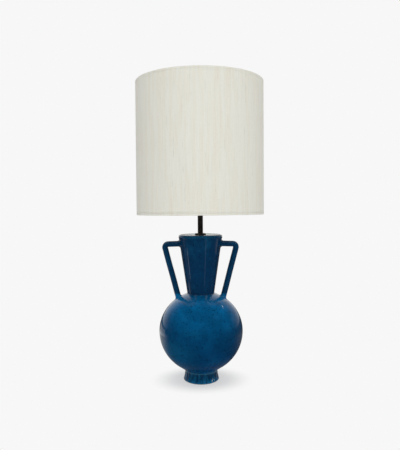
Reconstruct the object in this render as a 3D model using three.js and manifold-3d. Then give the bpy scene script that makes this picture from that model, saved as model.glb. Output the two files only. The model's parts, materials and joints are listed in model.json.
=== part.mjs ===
// A table lamp: a glazed vase with two handles, a dark stem, a harp and a tall fabric drum shade.
// Millimetres, +Z up, the front towards -Y, the origin on the floor under the middle of the foot.

import * as THREE from 'three';
import { mergeVertices } from 'three/addons/utils/BufferGeometryUtils.js';
import Module from 'manifold-3d';

const wasm = await Module();
wasm.setup();

// Clearances
const seatGap = 0.3; // between pieces that rest on, or pass through, each other
const overrun = 2; // how far a cutting tool runs past what it cuts

// Felt pad under the foot
const feltThickness = 1.2;
const feltInset = 4;

// Foot of the vase
const footBottomRadius = 49.2;
const footTopRadius = 44.9;
const footHeight = 26.5;
const footEdgeRadius = 2.4;
const footRingWidth = 12;
const footFlareShare = 0.6; // of the foot's height, where its side starts to flare
const fluteCount = 26;
const fluteDepth = 1;

// Globe of the vase
const globeRadius = 115.7;
const globeLowerHeight = 114.7;
const globeUpperHeight = 109;
const globeSink = 4.5; // how far the globe's lowest point is below the foot's top
const globeFilletRise = 14.5; // how far up the globe its fillet with the foot runs
const wall = 6;
const floorThickness = 10;
const cavityFloorRise = 2; // of the flat inside floor above the cavity's own curve

// Neck and lip of the vase
const neckBottomRadius = 37.1;
const neckTopRadius = 59.3;
const neckHeight = 153.2;
const lipRadius = 60.4;
const lipHeight = 10;
const lipEdgeRadius = 3.5;
const lipBlend = 1.5;

// Handles
const handleRadius = 8;
const handleReachShare = 0.87; // of the globe's radius, where the bar's and the arm's centrelines cross
const handleDrop = 25.5; // from the lip's top to the bar's centreline
const handleBendRadius = 8;
const handleRootShare = 0.537; // of the globe's radius, where the arm's centreline meets the globe
const handleRootDepth = 9;

// Disc in the vase's mouth
const capRadius = 55;
const capThickness = 2.3;
const capRecess = 3.3; // from the lip's top down to the ledge that carries the disc
const capLedgeWidth = 2.6;

// Threaded pipe and what it clamps
const pipeRadius = 5;
const pipeWall = 1.4;
const washerRadius = 20;
const washerThickness = 2;
const lockWasherRadius = 9;
const lockWasherThickness = 1.2;
const nutAcrossFlats = 17;
const nutThickness = 5;
const pipeBelowNut = 3;
const pipeAboveSaddle = 7.5;
const collarRadius = 15.5;
const collarThickness = 4.6;
const stemRadius = 7.3;
const stemWall = 1.2;
const stemLength = 79;

// Cord bushing in the back of the foot
const cordBore = 3.2;
const bushingRadius = 4.3;
const bushingFlangeRadius = 6.5;
const bushingFlangeThickness = 2;
const bushingRecess = 2; // of its seat inside the foot's upper radius

// Harp saddle
const saddleThickness = 2;
const saddleRadius = 9;
const earSpread = 27.5; // from the axis to an ear's outer face
const earThickness = 1.5;
const earWidth = 6;
const earHeight = 14.5;

// Harp
const bladeLength = 19;
const harpWireRadius = 1.7;
const harpHeight = 299.3;
const harpStraight = 38; // how far up its legs are upright
const harpBellySpread = 57;
const harpBellyRise = 120;
const harpTopFlat = 10;
const harpLegPull = 30; // how far the curve leaves a leg straight on
const harpBellyPull = 80;
const harpTopPull = 26;
const studFlangeRadius = 6;
const studFlangeThickness = 1.6;
const studRadius = 3.1;
const studAboveHub = 8;
const ferruleWall = 1;
const ferruleLength = 15;

// Socket
const socketCapRadius = 17.8;
const socketCapHubRadius = 8;
const socketCapHubHeight = 7.5;
const socketCapShoulderRise = 5;
const socketCapHeight = 20;
const socketWall = 1;
const shellWall = 0.8;
const shellLength = 48;
const sleeveWall = 0.8;
const socketBodyHeight = 18;
const shellOverlap = 6.5; // of the outer shell inside the socket cap
const socketBodySink = 3; // of the switch body's bottom above the shell's bottom
const setScrewRadius = 1.5;
const setScrewHeadRadius = 2.2;
const setScrewHeadThickness = 2;
const screwShellWall = 0.6;
const screwShellLength = 27;
const contactRadius = 3.5;
const contactThickness = 1.5;
const terminalPocketDepth = 4;
const terminalPocketWidth = 8;
const terminalHeadRadius = 3;
const terminalHeadThickness = 1.6;
const terminalShankRadius = 1.4;
const terminalShankLength = 4;

// Switch
const shaftRadius = 2;
const shaftStart = 5;
const knobRadius = 6;
const knobLength = 12;
const knobStart = 23;
const knobLobes = 6;
const knobLobeDepth = 0.8;

// Bulb
const bulbCapRadius = 13.1;
const bulbCapWall = 0.6;
const bulbCapLength = 22.5;
const bulbCapTaper = 4;
const bulbTipRadius = 4;
const bulbTipHeight = 3.4;
const bulbGlassRadius = 30;
const bulbGlassWall = 1;
const bulbNeckLength = 8;
const bulbGlassHeight = 86; // from the glass's lower edge to its top
const bulbNeckSink = 5; // of the glass inside its cap
const bulbStemRadius = 3.2;
const bulbStemHeight = 31;
const bulbStemFoot = 8;
const bulbStemFlange = 1.2;
const filamentWireRadius = 0.5;
const filamentRise = 26;
const filamentSpread = 13;
const filamentSag = 3;
const filamentFootSpread = 1.8;

// Shade
const shadeRadius = 175;
const shadeHeight = 360;
const trimThickness = 0.7;
const trimHeight = 5;
const fabricThickness = 0.7;
const linerThickness = 1;
const ringWireRadius = 2;

// Spider that carries the shade
const hubRadius = 12;
const hubThickness = 2.2;
const armRadius = 1.6;
const armFlatLength = 35;
const armRimLength = 50;
const spiderDrop = 23.7; // from the shade's top down to the hub's top
const armTurnShares = { back: 1 / 4, left: 7 / 12, right: 11 / 12 }; // of a full turn from +X

// Finial
const finialBaseRadius = 6;
const finialBaseHeight = 9;
const finialFloor = 0.8;
const finialKnobRadius = 8;
const finialKnobHeight = 11.5;
const finialNeckRadius = 4.5;
const finialNeckHeight = 2;

// Facets
const vaseSegments = 2 * fluteCount;
const shadeSegments = 48;
const midSegments = 24;
const smallSegments = 16;
const wireSides = 6;
const handleSides = 10;
const nutSides = 6;

// Levels from the floor upward
const footBottom = feltThickness + seatGap;
const footTop = footBottom + footHeight;
const globeBottom = footTop - globeSink;
const globeCentre = globeBottom + globeLowerHeight;
const cavityFloor = globeBottom + wall + cavityFloorRise;
const recessCeiling = cavityFloor - floorThickness;
const recessRadius = footBottomRadius - footRingWidth;
const neckBottom = onEllipse(neckBottomRadius, globeRadius, globeUpperHeight);
const neckTop = neckBottom + neckHeight;
const lipTop = neckTop + lipHeight;
const capLedge = lipTop - capRecess;
const capBottom = capLedge + seatGap;
const capTop = capBottom + capThickness;
const collarBottom = capTop + seatGap;
const stemBottom = collarBottom + collarThickness + seatGap;
const saddleBottom = stemBottom + stemLength + seatGap;
const saddleTop = saddleBottom + saddleThickness;
const washerBottom = recessCeiling - seatGap - washerThickness;
const lockWasherBottom = washerBottom - seatGap - lockWasherThickness;
const nutBottom = lockWasherBottom - seatGap - nutThickness;
const pipeBottom = nutBottom - pipeBelowNut;
const pipeTop = saddleTop + pipeAboveSaddle;
const pipeHole = pipeRadius + seatGap;
const handleBar = lipTop - handleDrop;
const handleReach = handleReachShare * globeRadius;
const handleRoot = handleRootShare * globeRadius;

const bladeBottom = saddleTop + seatGap;
const harpTop = bladeBottom + harpHeight;
const studBottom = harpTop + harpWireRadius + seatGap;
const hubBottom = studBottom + studFlangeThickness + seatGap;
const hubTop = hubBottom + hubThickness;
const studTop = hubTop + studAboveHub;
const shadeTop = hubTop + spiderDrop;
const shadeBottom = shadeTop - shadeHeight;
const finialBottom = hubTop + seatGap;
const finialKnobBottom = finialBottom + finialBaseHeight + seatGap;

const socketCapBottom = saddleTop + seatGap;
const socketCapTop = socketCapBottom + socketCapHeight;
const shellRadius = socketCapRadius - socketWall - seatGap;
const shellBottom = socketCapTop - shellOverlap;
const sleeveRadius = shellRadius - shellWall - seatGap;
const socketBodyRadius = sleeveRadius - sleeveWall - seatGap;
const socketBodyBottom = shellBottom + socketBodySink;
const socketBodyTop = socketBodyBottom + socketBodyHeight;
const switchHeight = (socketCapTop + socketBodyTop) / 2;
const screwShellBottom = socketBodyTop + seatGap;
const contactTop = socketBodyTop + seatGap + contactThickness;
const bulbTipBottom = contactTop + seatGap;
const bulbCapBottom = bulbTipBottom + bulbTipHeight + seatGap;
const bulbCapTop = bulbCapBottom + bulbCapLength;
const glassBottom = bulbCapTop - bulbNeckSink;
const glassNeckRadius = bulbCapRadius - bulbCapWall - seatGap;
const glassTop = glassBottom + bulbGlassHeight;

const ringCentreTop = shadeTop - trimThickness - seatGap - ringWireRadius;
const ringCentreBottom = shadeBottom + trimThickness + seatGap + ringWireRadius;
const fabricRadius = shadeRadius - trimThickness - seatGap;
const linerRadius = fabricRadius - fabricThickness - seatGap;
const ringRadius = linerRadius - linerThickness - seatGap - ringWireRadius;
const trimInnerRadius = ringRadius - ringWireRadius - seatGap - trimThickness;

// Height above the floor of a point on the globe's upper half, at a distance from the axis.
function onEllipse(distance, radius, height) {
  return globeCentre + height * Math.sqrt(1 - (distance / radius) ** 2);
}

function point(x, y) {
  return new THREE.Vector2(x, y);
}

// Points on an upright ellipse, by angle from its horizontal radius.
function ellipsePoints(centre, radius, height, from, to, steps) {
  return Array.from({ length: steps + 1 }, (_, i) => {
    const angle = from + ((to - from) * i) / steps;
    return point(centre.x + radius * Math.cos(angle), centre.y + height * Math.sin(angle));
  });
}

function bezierPoints(start, pull, end, steps) {
  return new THREE.QuadraticBezierCurve(start, pull, end).getPoints(steps);
}

// Keeps a geometry's positions, joins equal corners and drops triangles that joining closed up.
function closed(geometry) {
  geometry.deleteAttribute('normal');
  geometry.deleteAttribute('uv');
  const merged = mergeVertices(geometry);
  const kept = [];
  for (let i = 0; i < merged.index.count; i += 3) {
    const [a, b, c] = [0, 1, 2].map((k) => merged.index.getX(i + k));
    if (a !== b && b !== c && c !== a) kept.push(a, b, c);
  }
  merged.setIndex(kept);
  return merged;
}

// A solid of revolution about Z; its outline runs up the outside.
function turned(outline, segments) {
  return closed(new THREE.LatheGeometry(outline, segments).rotateX(Math.PI / 2));
}

// A solid ring of revolution, from an outline that closes on itself.
function turnedRing(outline, segments) {
  return turned([...outline, outline[0]], segments);
}

function disc(radius, bottom, thickness, segments) {
  const top = bottom + thickness;
  return turned([point(0, bottom), point(radius, bottom), point(radius, top), point(0, top)], segments);
}

function tube(innerRadius, outerRadius, bottom, length, segments) {
  const top = bottom + length;
  const outline = [
    point(innerRadius, bottom),
    point(outerRadius, bottom),
    point(outerRadius, top),
    point(innerRadius, top),
  ];
  return turnedRing(outline, segments);
}

function circle(radius, sides) {
  return new THREE.Shape(ellipsePoints(point(0, 0), radius, radius, 0, 2 * Math.PI, sides).slice(0, -1));
}

// A round bar of one radius along a curve.
function bar(path, radius, sides, steps) {
  const options = { steps, bevelEnabled: false, extrudePath: path };
  return closed(new THREE.ExtrudeGeometry(circle(radius, sides), options));
}

// A plate with the outline given, from one level up.
function plate(shape, bottom, thickness, segments) {
  const options = { depth: thickness, bevelEnabled: false, curveSegments: segments };
  return closed(new THREE.ExtrudeGeometry(shape, options).translate(0, 0, bottom));
}

function block(from, to) {
  const size = to.clone().sub(from);
  const middle = from.clone().add(to).multiplyScalar(1 / 2);
  return closed(new THREE.BoxGeometry(size.x, size.y, size.z).translate(middle.x, middle.y, middle.z));
}

// Turns a piece made about Z so that it lies along -Y, at a height above the floor.
function towardsFront(geometry, height) {
  return geometry.rotateX(Math.PI / 2).translate(0, 0, height);
}

function solid(geometry) {
  return new wasm.Manifold(
    new wasm.Mesh({
      numProp: 3,
      vertProperties: new Float32Array(geometry.attributes.position.array),
      triVerts: new Uint32Array(geometry.index.array),
    }),
  );
}

function fromSolid(shape) {
  const mesh = shape.getMesh();
  const geometry = new THREE.BufferGeometry();
  geometry.setAttribute('position', new THREE.BufferAttribute(mesh.vertProperties, mesh.numProp));
  geometry.setIndex(new THREE.BufferAttribute(mesh.triVerts, 1));
  return geometry;
}

function cut(geometry, ...tools) {
  return fromSolid(tools.reduce((rest, tool) => rest.subtract(solid(tool)), solid(geometry)));
}

function joined(geometry, ...others) {
  return fromSolid(others.reduce((sum, other) => sum.add(solid(other)), solid(geometry)));
}

// The vase's outside from the foot's edge up to the lip, moved out by grow.
function vaseOutside(grow) {
  const radius = globeRadius + grow;
  const lower = globeLowerHeight + grow;
  const upper = globeUpperHeight + grow;
  const centre = point(0, globeCentre);
  const edgeTop = point(footBottomRadius + grow, footBottom + footEdgeRadius);
  const footCorner = point(footTopRadius + grow, footTop);
  const flarePull = point(footCorner.x, edgeTop.y + footFlareShare * (footTop - edgeTop.y));
  const filletAngle = Math.asin((footTop + globeFilletRise - globeCentre) / lower);
  const filletEnd = point(radius * Math.cos(filletAngle), centre.y + lower * Math.sin(filletAngle));
  const slope = (radius * Math.tan(-filletAngle)) / lower;
  const filletPull = point(footCorner.x, filletEnd.y - (filletEnd.x - footCorner.x) / slope);
  const neckAngle = Math.acos((neckBottomRadius + grow) / radius);
  const edge = point(footBottomRadius - footEdgeRadius, edgeTop.y);
  const lipEdge = point(lipRadius - lipEdgeRadius, lipTop - lipEdgeRadius);
  return [
    ...ellipsePoints(edge, footEdgeRadius + grow, footEdgeRadius, -Math.PI / 2, 0, 2),
    ...bezierPoints(edgeTop, flarePull, footCorner, 4).slice(1),
    ...bezierPoints(footCorner, filletPull, filletEnd, 3).slice(1),
    ...ellipsePoints(centre, radius, lower, filletAngle, 0, 5).slice(1),
    ...ellipsePoints(centre, radius, upper, 0, neckAngle, 7).slice(1),
    point(neckTopRadius + grow, neckTop),
    point(lipRadius + grow, neckTop + lipBlend),
    ...ellipsePoints(lipEdge, lipEdgeRadius + grow, lipEdgeRadius, 0, Math.PI / 2, 2),
  ];
}

// The vase's inside from the mouth down to the edge of its flat floor.
function vaseInside() {
  const radius = globeRadius - wall;
  const lower = globeLowerHeight - wall;
  const centre = point(0, globeCentre);
  const neckAngle = Math.acos((neckBottomRadius - wall) / radius);
  const floorAngle = -Math.asin((lower - cavityFloorRise) / lower);
  return [
    point(capRadius + seatGap, lipTop),
    point(capRadius + seatGap, capLedge),
    point(capRadius - capLedgeWidth, capLedge),
    ...ellipsePoints(centre, radius, globeUpperHeight - wall, neckAngle, 0, 4),
    ...ellipsePoints(centre, radius, lower, 0, floorAngle, 4).slice(1),
  ];
}

// Presses the flutes into the side of the foot, a ridge and a groove in turn.
function fluted(geometry) {
  const place = geometry.attributes.position;
  const low = footBottom + footEdgeRadius;
  for (let i = 0; i < place.count; i += 1) {
    const [x, y, z] = [place.getX(i), place.getY(i), place.getZ(i)];
    const onSide = z > low && z < footTop - fluteDepth && Math.hypot(x, y) > recessRadius + fluteDepth;
    const depth = onSide ? (fluteDepth * (1 - Math.cos(fluteCount * Math.atan2(y, x)))) / 2 : 0;
    const share = 1 - depth / Math.hypot(x, y);
    place.setXY(i, x * share, y * share);
  }
  return geometry;
}

// Runs from the axis out along the back of the foot.
function bushingTool(radius, from) {
  const length = footBottomRadius + overrun - from;
  return towardsFront(disc(radius, from, length, smallSegments), inletHeight()).rotateZ(Math.PI);
}

function inletHeight() {
  return (footBottom + recessCeiling) / 2;
}

function ceramicBody() {
  const outline = [
    point(recessRadius, footBottom),
    ...vaseOutside(0),
    ...vaseInside(),
    point(pipeHole, cavityFloor),
    point(pipeHole, recessCeiling),
    point(recessRadius, recessCeiling),
  ];
  return cut(
    fluted(turnedRing(outline, vaseSegments)),
    bushingTool(bushingRadius + seatGap, recessRadius - overrun),
    bushingTool(bushingFlangeRadius + seatGap, footTopRadius - bushingRecess),
  );
}

function cordBushing() {
  const seat = footTopRadius - bushingRecess + seatGap;
  const front = seat + bushingFlangeThickness;
  const outline = [
    point(cordBore, recessRadius),
    point(bushingRadius, recessRadius),
    point(bushingRadius, seat),
    point(bushingFlangeRadius, seat),
    point(bushingFlangeRadius, front),
    point(cordBore, front),
  ];
  return towardsFront(turnedRing(outline, smallSegments), inletHeight()).rotateZ(Math.PI);
}

// A handle's centreline on the +X side: a level bar out of the neck, a bend and an arm down to the globe.
function handlePath() {
  const up = (x, z) => new THREE.Vector3(x, 0, z);
  const corner = up(handleReach, handleBar);
  const root = up(handleRoot, onEllipse(handleRoot, globeRadius, globeUpperHeight));
  const along = root.clone().sub(corner).normalize();
  const inward = up(-1, 0);
  const half = along.angleTo(inward) / 2;
  const run = handleBendRadius / Math.tan(half);
  const bendStart = corner.clone().addScaledVector(inward, run);
  const bendEnd = corner.clone().addScaledVector(along, run);
  const path = new THREE.CurvePath();
  path.add(new THREE.LineCurve3(up(neckTopRadius - wall, handleBar), bendStart));
  path.add(new THREE.QuadraticBezierCurve3(bendStart, corner, bendEnd));
  path.add(new THREE.LineCurve3(bendEnd, root.addScaledVector(along, handleRootDepth)));
  return path;
}

function handle(side) {
  const outside = vaseOutside(seatGap);
  const core = [point(0, footBottom), ...outside, point(0, lipTop)];
  const arm = cut(bar(handlePath(), handleRadius, handleSides, 30), turned(core, vaseSegments));
  return side > 0 ? arm : arm.rotateZ(Math.PI);
}

function nut() {
  const corner = nutAcrossFlats / 2 / Math.cos(Math.PI / nutSides);
  const shape = circle(corner, nutSides);
  shape.holes.push(new THREE.Path(circle(pipeHole, smallSegments).getPoints()));
  return plate(shape, nutBottom, nutThickness, smallSegments);
}

// The lock washer is split, so its ring stays open by one cut.
function lockWasher() {
  const ring = tube(pipeHole, lockWasherRadius, lockWasherBottom, lockWasherThickness, smallSegments);
  const low = new THREE.Vector3(0, -lockWasherThickness / 2, lockWasherBottom - overrun);
  const high = new THREE.Vector3(
    lockWasherRadius + overrun,
    lockWasherThickness / 2,
    lockWasherBottom + lockWasherThickness + overrun,
  );
  return cut(ring, block(low, high));
}

// A bent strap: a plate round the pipe that narrows towards an upright ear at each end.
function harpSaddle() {
  const half = earWidth / 2;
  const reach = earSpread - earThickness;
  const shape = new THREE.Shape();
  shape.moveTo(-earSpread, -half);
  shape.lineTo(-reach, -half);
  shape.quadraticCurveTo(-saddleRadius, -half, 0, -saddleRadius);
  shape.quadraticCurveTo(saddleRadius, -half, reach, -half);
  shape.lineTo(earSpread, -half);
  shape.lineTo(earSpread, half);
  shape.lineTo(reach, half);
  shape.quadraticCurveTo(saddleRadius, half, 0, saddleRadius);
  shape.quadraticCurveTo(-saddleRadius, half, -reach, half);
  shape.lineTo(-earSpread, half);
  shape.holes.push(new THREE.Path(circle(pipeHole, smallSegments).getPoints()));
  const ears = [-1, 1].map((side) => {
    const [from, to] = side > 0 ? [reach, earSpread] : [-earSpread, -reach];
    return block(
      new THREE.Vector3(from, -half, saddleBottom),
      new THREE.Vector3(to, half, saddleTop + earHeight),
    );
  });
  return joined(plate(shape, saddleBottom, saddleThickness, 6), ...ears);
}

// Where a harp leg's middle is, beside the saddle's ear.
function legSpread() {
  return earSpread + seatGap + earThickness / 2;
}

function harpPath() {
  const up = (x, z) => new THREE.Vector3(x, 0, z);
  const leg = legSpread();
  const wireBottom = saddleTop + earHeight + seatGap;
  const flare = bladeBottom + harpStraight;
  const belly = bladeBottom + harpBellyRise;
  const path = new THREE.CurvePath();
  path.add(new THREE.LineCurve3(up(-leg, wireBottom), up(-leg, flare)));
  path.add(
    new THREE.CubicBezierCurve3(
      up(-leg, flare),
      up(-leg, flare + harpLegPull),
      up(-harpBellySpread, belly - harpLegPull),
      up(-harpBellySpread, belly),
    ),
  );
  path.add(
    new THREE.CubicBezierCurve3(
      up(-harpBellySpread, belly),
      up(-harpBellySpread, belly + harpBellyPull),
      up(-harpTopFlat - harpTopPull, harpTop),
      up(-harpTopFlat, harpTop),
    ),
  );
  path.add(new THREE.LineCurve3(up(-harpTopFlat, harpTop), up(harpTopFlat, harpTop)));
  path.add(
    new THREE.CubicBezierCurve3(
      up(harpTopFlat, harpTop),
      up(harpTopFlat + harpTopPull, harpTop),
      up(harpBellySpread, belly + harpBellyPull),
      up(harpBellySpread, belly),
    ),
  );
  path.add(
    new THREE.CubicBezierCurve3(
      up(harpBellySpread, belly),
      up(harpBellySpread, belly - harpLegPull),
      up(leg, flare + harpLegPull),
      up(leg, flare),
    ),
  );
  path.add(new THREE.LineCurve3(up(leg, flare), up(leg, wireBottom)));
  return path;
}

function harpBow() {
  const blades = [-1, 1].map((side) => {
    const [inner, outer] = [earSpread + seatGap, earSpread + seatGap + earThickness];
    const [from, to] = side > 0 ? [inner, outer] : [-outer, -inner];
    return block(
      new THREE.Vector3(from, -earWidth / 2, bladeBottom),
      new THREE.Vector3(to, earWidth / 2, bladeBottom + bladeLength),
    );
  });
  return joined(bar(harpPath(), harpWireRadius, wireSides, 48), ...blades);
}

function harpStud() {
  const flangeTop = studBottom + studFlangeThickness;
  const outline = [
    point(0, studBottom),
    point(studFlangeRadius, studBottom),
    point(studFlangeRadius, flangeTop),
    point(studRadius, flangeTop),
    point(studRadius, studTop),
    point(0, studTop),
  ];
  return turned(outline, smallSegments);
}

// A sleeve that goes round a saddle ear and the harp's blade beside it.
function ferrule(side) {
  const middle = earSpread + seatGap / 2;
  const reach = Math.hypot(earThickness + seatGap / 2, earWidth / 2);
  const bore = Math.max(reach, legSpread() - middle + harpWireRadius) + seatGap;
  const ring = tube(bore, bore + ferruleWall, bladeBottom, ferruleLength, smallSegments);
  return ring.translate(side * middle, 0, 0);
}

function socketCap() {
  const hubTop = socketCapBottom + socketCapHubHeight;
  const shoulder = hubTop + socketCapShoulderRise;
  const outline = [
    point(pipeHole, socketCapBottom),
    point(socketCapHubRadius, socketCapBottom),
    point(socketCapHubRadius, hubTop - socketWall),
    ...bezierPoints(
      point(socketCapHubRadius + socketWall, hubTop - socketWall),
      point(socketCapRadius, hubTop - socketWall),
      point(socketCapRadius, shoulder),
      3,
    ),
    point(socketCapRadius, socketCapTop),
    point(socketCapRadius - socketWall, socketCapTop),
    ...bezierPoints(
      point(socketCapRadius - socketWall, shoulder),
      point(socketCapRadius - socketWall, hubTop),
      point(socketCapHubRadius, hubTop),
      3,
    ),
    point(pipeHole, hubTop),
  ];
  return cut(turnedRing(outline, midSegments), setScrewTool());
}

function setScrewHeight() {
  return socketCapBottom + (socketCapHubHeight - socketWall) / 2;
}

function setScrewTool() {
  const length = socketCapHubRadius + overrun - pipeRadius;
  const hole = disc(setScrewRadius + seatGap, pipeRadius, length, smallSegments);
  return towardsFront(hole, setScrewHeight());
}

function setScrew() {
  const start = pipeRadius + seatGap;
  const seat = socketCapHubRadius + seatGap;
  const end = seat + setScrewHeadThickness;
  const outline = [
    point(0, start),
    point(setScrewRadius, start),
    point(setScrewRadius, seat),
    point(setScrewHeadRadius, seat),
    point(setScrewHeadRadius, end),
    point(0, end),
  ];
  return towardsFront(turned(outline, smallSegments), setScrewHeight());
}

// The hole that the switch's shaft passes through, from inside the switch body out to the front.
function shaftTool() {
  const length = shellRadius + overrun - shaftStart + seatGap;
  const hole = disc(shaftRadius + seatGap, shaftStart - seatGap, length, smallSegments);
  return towardsFront(hole, switchHeight);
}

function socketShell() {
  const ring = tube(shellRadius - shellWall, shellRadius, shellBottom, shellLength, midSegments);
  return cut(ring, shaftTool());
}

function socketSleeve() {
  const ring = tube(sleeveRadius - sleeveWall, sleeveRadius, shellBottom, shellLength, midSegments);
  return cut(ring, shaftTool());
}

function terminalHeight() {
  return (socketBodyBottom + socketBodyTop) / 2;
}

// The switch body has a pocket for a terminal screw on each side, and the shaft's hole in front.
function socketBody() {
  const half = terminalPocketWidth / 2;
  const floor = socketBodyRadius - terminalPocketDepth;
  const pockets = [-1, 1].map((side) => {
    const outer = socketBodyRadius + overrun;
    const [from, to] = side > 0 ? [floor, outer] : [-outer, -floor];
    return block(
      new THREE.Vector3(from, -half, terminalHeight() - half),
      new THREE.Vector3(to, half, terminalHeight() + half),
    );
  });
  const start = floor - terminalShankLength - seatGap;
  const holes = [-1, 1].map((side) => {
    const hole = disc(terminalShankRadius + seatGap, start, floor + overrun - start, smallSegments);
    return towardsFront(hole, terminalHeight()).rotateZ((side * Math.PI) / 2);
  });
  const core = disc(socketBodyRadius, socketBodyBottom, socketBodyHeight, midSegments);
  return cut(core, shaftTool(), ...pockets, ...holes);
}

// A screw for one wire, on one side of the switch body.
function terminalScrew(side) {
  const floor = socketBodyRadius - terminalPocketDepth;
  const seat = floor + seatGap;
  const end = seat + terminalHeadThickness;
  const outline = [
    point(0, floor - terminalShankLength),
    point(terminalShankRadius, floor - terminalShankLength),
    point(terminalShankRadius, seat),
    point(terminalHeadRadius, seat),
    point(terminalHeadRadius, end),
    point(0, end),
  ];
  return towardsFront(turned(outline, smallSegments), terminalHeight()).rotateZ((side * Math.PI) / 2);
}

// A thin cup with a hole in its floor for the centre contact.
function screwShell() {
  const outer = socketBodyRadius;
  const top = screwShellBottom + screwShellLength;
  const outline = [
    point(contactRadius + overrun, screwShellBottom),
    point(outer, screwShellBottom),
    point(outer, top),
    point(outer - screwShellWall, top),
    point(outer - screwShellWall, screwShellBottom + screwShellWall),
    point(contactRadius + overrun, screwShellBottom + screwShellWall),
  ];
  return turnedRing(outline, midSegments);
}

function switchShaft() {
  const length = knobStart + knobLength / 2 - shaftStart;
  return towardsFront(disc(shaftRadius, shaftStart, length, smallSegments), switchHeight);
}

// A lobed knob with a blind bore that the shaft is pressed into.
function switchKnob() {
  const steps = knobLobes * 4;
  const outline = Array.from({ length: steps }, (_, i) => {
    const angle = (2 * Math.PI * i) / steps;
    const radius = knobRadius - (knobLobeDepth * (1 - Math.cos(knobLobes * angle))) / 2;
    return point(radius * Math.cos(angle), radius * Math.sin(angle));
  });
  const knob = plate(new THREE.Shape(outline), knobStart, knobLength, steps);
  const depth = knobLength / 2 + seatGap + overrun;
  const bore = disc(shaftRadius + seatGap, knobStart - overrun, depth, smallSegments);
  return towardsFront(cut(knob, bore), switchHeight);
}

function bulbContact() {
  const top = bulbTipBottom + bulbTipHeight;
  const outline = [
    point(0, bulbTipBottom),
    point(bulbTipRadius, bulbTipBottom),
    point(bulbCapRadius - bulbCapTaper, top),
    point(0, top),
  ];
  return turned(outline, smallSegments);
}

function bulbCap() {
  const inner = bulbCapRadius - bulbCapWall;
  const outline = [
    point(bulbTipRadius, bulbCapBottom),
    point(bulbCapRadius - bulbCapTaper, bulbCapBottom),
    point(bulbCapRadius, bulbCapBottom + bulbCapTaper),
    point(bulbCapRadius, bulbCapTop),
    point(inner, bulbCapTop),
    point(inner, bulbCapBottom + bulbCapTaper),
    point(inner - bulbCapTaper, bulbCapBottom + bulbCapWall),
    point(bulbTipRadius, bulbCapBottom + bulbCapWall),
  ];
  return turnedRing(outline, midSegments);
}

// The bulb's glass outline up the outside, or moved in by its wall.
function glassOutline(inset) {
  const radius = bulbGlassRadius - inset;
  const centre = point(0, glassTop - bulbGlassRadius);
  const neck = point(glassNeckRadius - inset, glassBottom + bulbNeckLength);
  const low = -Math.PI / 5;
  const start = point(radius * Math.cos(low), centre.y + radius * Math.sin(low));
  const pull = point(neck.x, (neck.y + start.y) / 2);
  return [
    point(neck.x, glassBottom),
    ...bezierPoints(neck, pull, start, 3),
    ...ellipsePoints(centre, radius, radius, low, Math.PI / 2, 6).slice(1),
  ];
}

function bulbGlass() {
  const outline = [...glassOutline(0), ...glassOutline(bulbGlassWall).reverse()];
  return turnedRing(outline, midSegments);
}

function bulbStem() {
  const inner = glassNeckRadius - bulbGlassWall - seatGap;
  const outline = [
    point(0, glassBottom),
    point(inner, glassBottom),
    point(inner, glassBottom + bulbStemFlange),
    point(bulbStemRadius, glassBottom + bulbStemFoot),
    point(bulbStemRadius, glassBottom + bulbStemHeight),
    point(0, glassBottom + bulbStemHeight),
  ];
  return turned(outline, smallSegments);
}

function bulbFilament() {
  const low = glassBottom + bulbStemHeight + seatGap + filamentWireRadius;
  const high = low + filamentRise;
  const path = new THREE.CatmullRomCurve3([
    new THREE.Vector3(-filamentFootSpread, 0, low),
    new THREE.Vector3(-filamentSpread, 0, high),
    new THREE.Vector3(0, 0, high - filamentSag),
    new THREE.Vector3(filamentSpread, 0, high),
    new THREE.Vector3(filamentFootSpread, 0, low),
  ]);
  return bar(path, filamentWireRadius, wireSides, 20);
}

function shadeShell(outerRadius, thickness) {
  const low = shadeBottom + trimThickness + seatGap;
  const high = shadeTop - trimThickness - seatGap;
  return tube(outerRadius - thickness, outerRadius, low, high - low, shadeSegments);
}

function shadeRing(centre) {
  const middle = point(ringRadius, centre);
  const round = ellipsePoints(middle, ringWireRadius, ringWireRadius, 0, 2 * Math.PI, wireSides);
  return turned(round, shadeSegments);
}

// A strip folded over the fabric, the liner and the ring at one edge of the drum.
function shadeTrim(edge, ringCentre) {
  const into = Math.sign(ringCentre - edge);
  const under = edge + into * trimThickness;
  const innerEnd = ringCentre + into * ringWireRadius;
  const outerEnd = edge + into * trimHeight;
  const outline = [
    point(trimInnerRadius, edge),
    point(shadeRadius, edge),
    point(shadeRadius, outerEnd),
    point(shadeRadius - trimThickness, outerEnd),
    point(shadeRadius - trimThickness, under),
    point(trimInnerRadius + trimThickness, under),
    point(trimInnerRadius + trimThickness, innerEnd),
    point(trimInnerRadius, innerEnd),
  ];
  return turnedRing(into > 0 ? outline : outline.reverse(), shadeSegments);
}

function spiderHub() {
  return tube(studRadius + seatGap, hubRadius, hubBottom, hubThickness, midSegments);
}

// An arm of the spider runs out from the hub and rises to lie under the shade's top ring.
function spiderArm(turn) {
  const up = (x, z) => new THREE.Vector3(x, 0, z);
  const low = hubBottom + hubThickness / 2;
  const high = ringCentreTop - ringWireRadius - seatGap - armRadius;
  const start = hubRadius + seatGap;
  const end = linerRadius - linerThickness - seatGap - armRadius;
  const path = new THREE.CubicBezierCurve3(
    up(start, low),
    up(start + armFlatLength, low),
    up(end - armRimLength, high),
    up(end, high),
  );
  return bar(path, armRadius, wireSides, 10).rotateZ(turn);
}

function finialBase() {
  const bore = studRadius + seatGap;
  const top = finialBottom + finialBaseHeight;
  const outline = [
    point(bore, finialBottom),
    point(finialBaseRadius, finialBottom),
    point(finialBaseRadius, top),
    point(0, top),
    point(0, top - finialFloor),
    point(bore, top - finialFloor),
    point(bore, finialBottom),
  ];
  return turned(outline, smallSegments);
}

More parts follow.
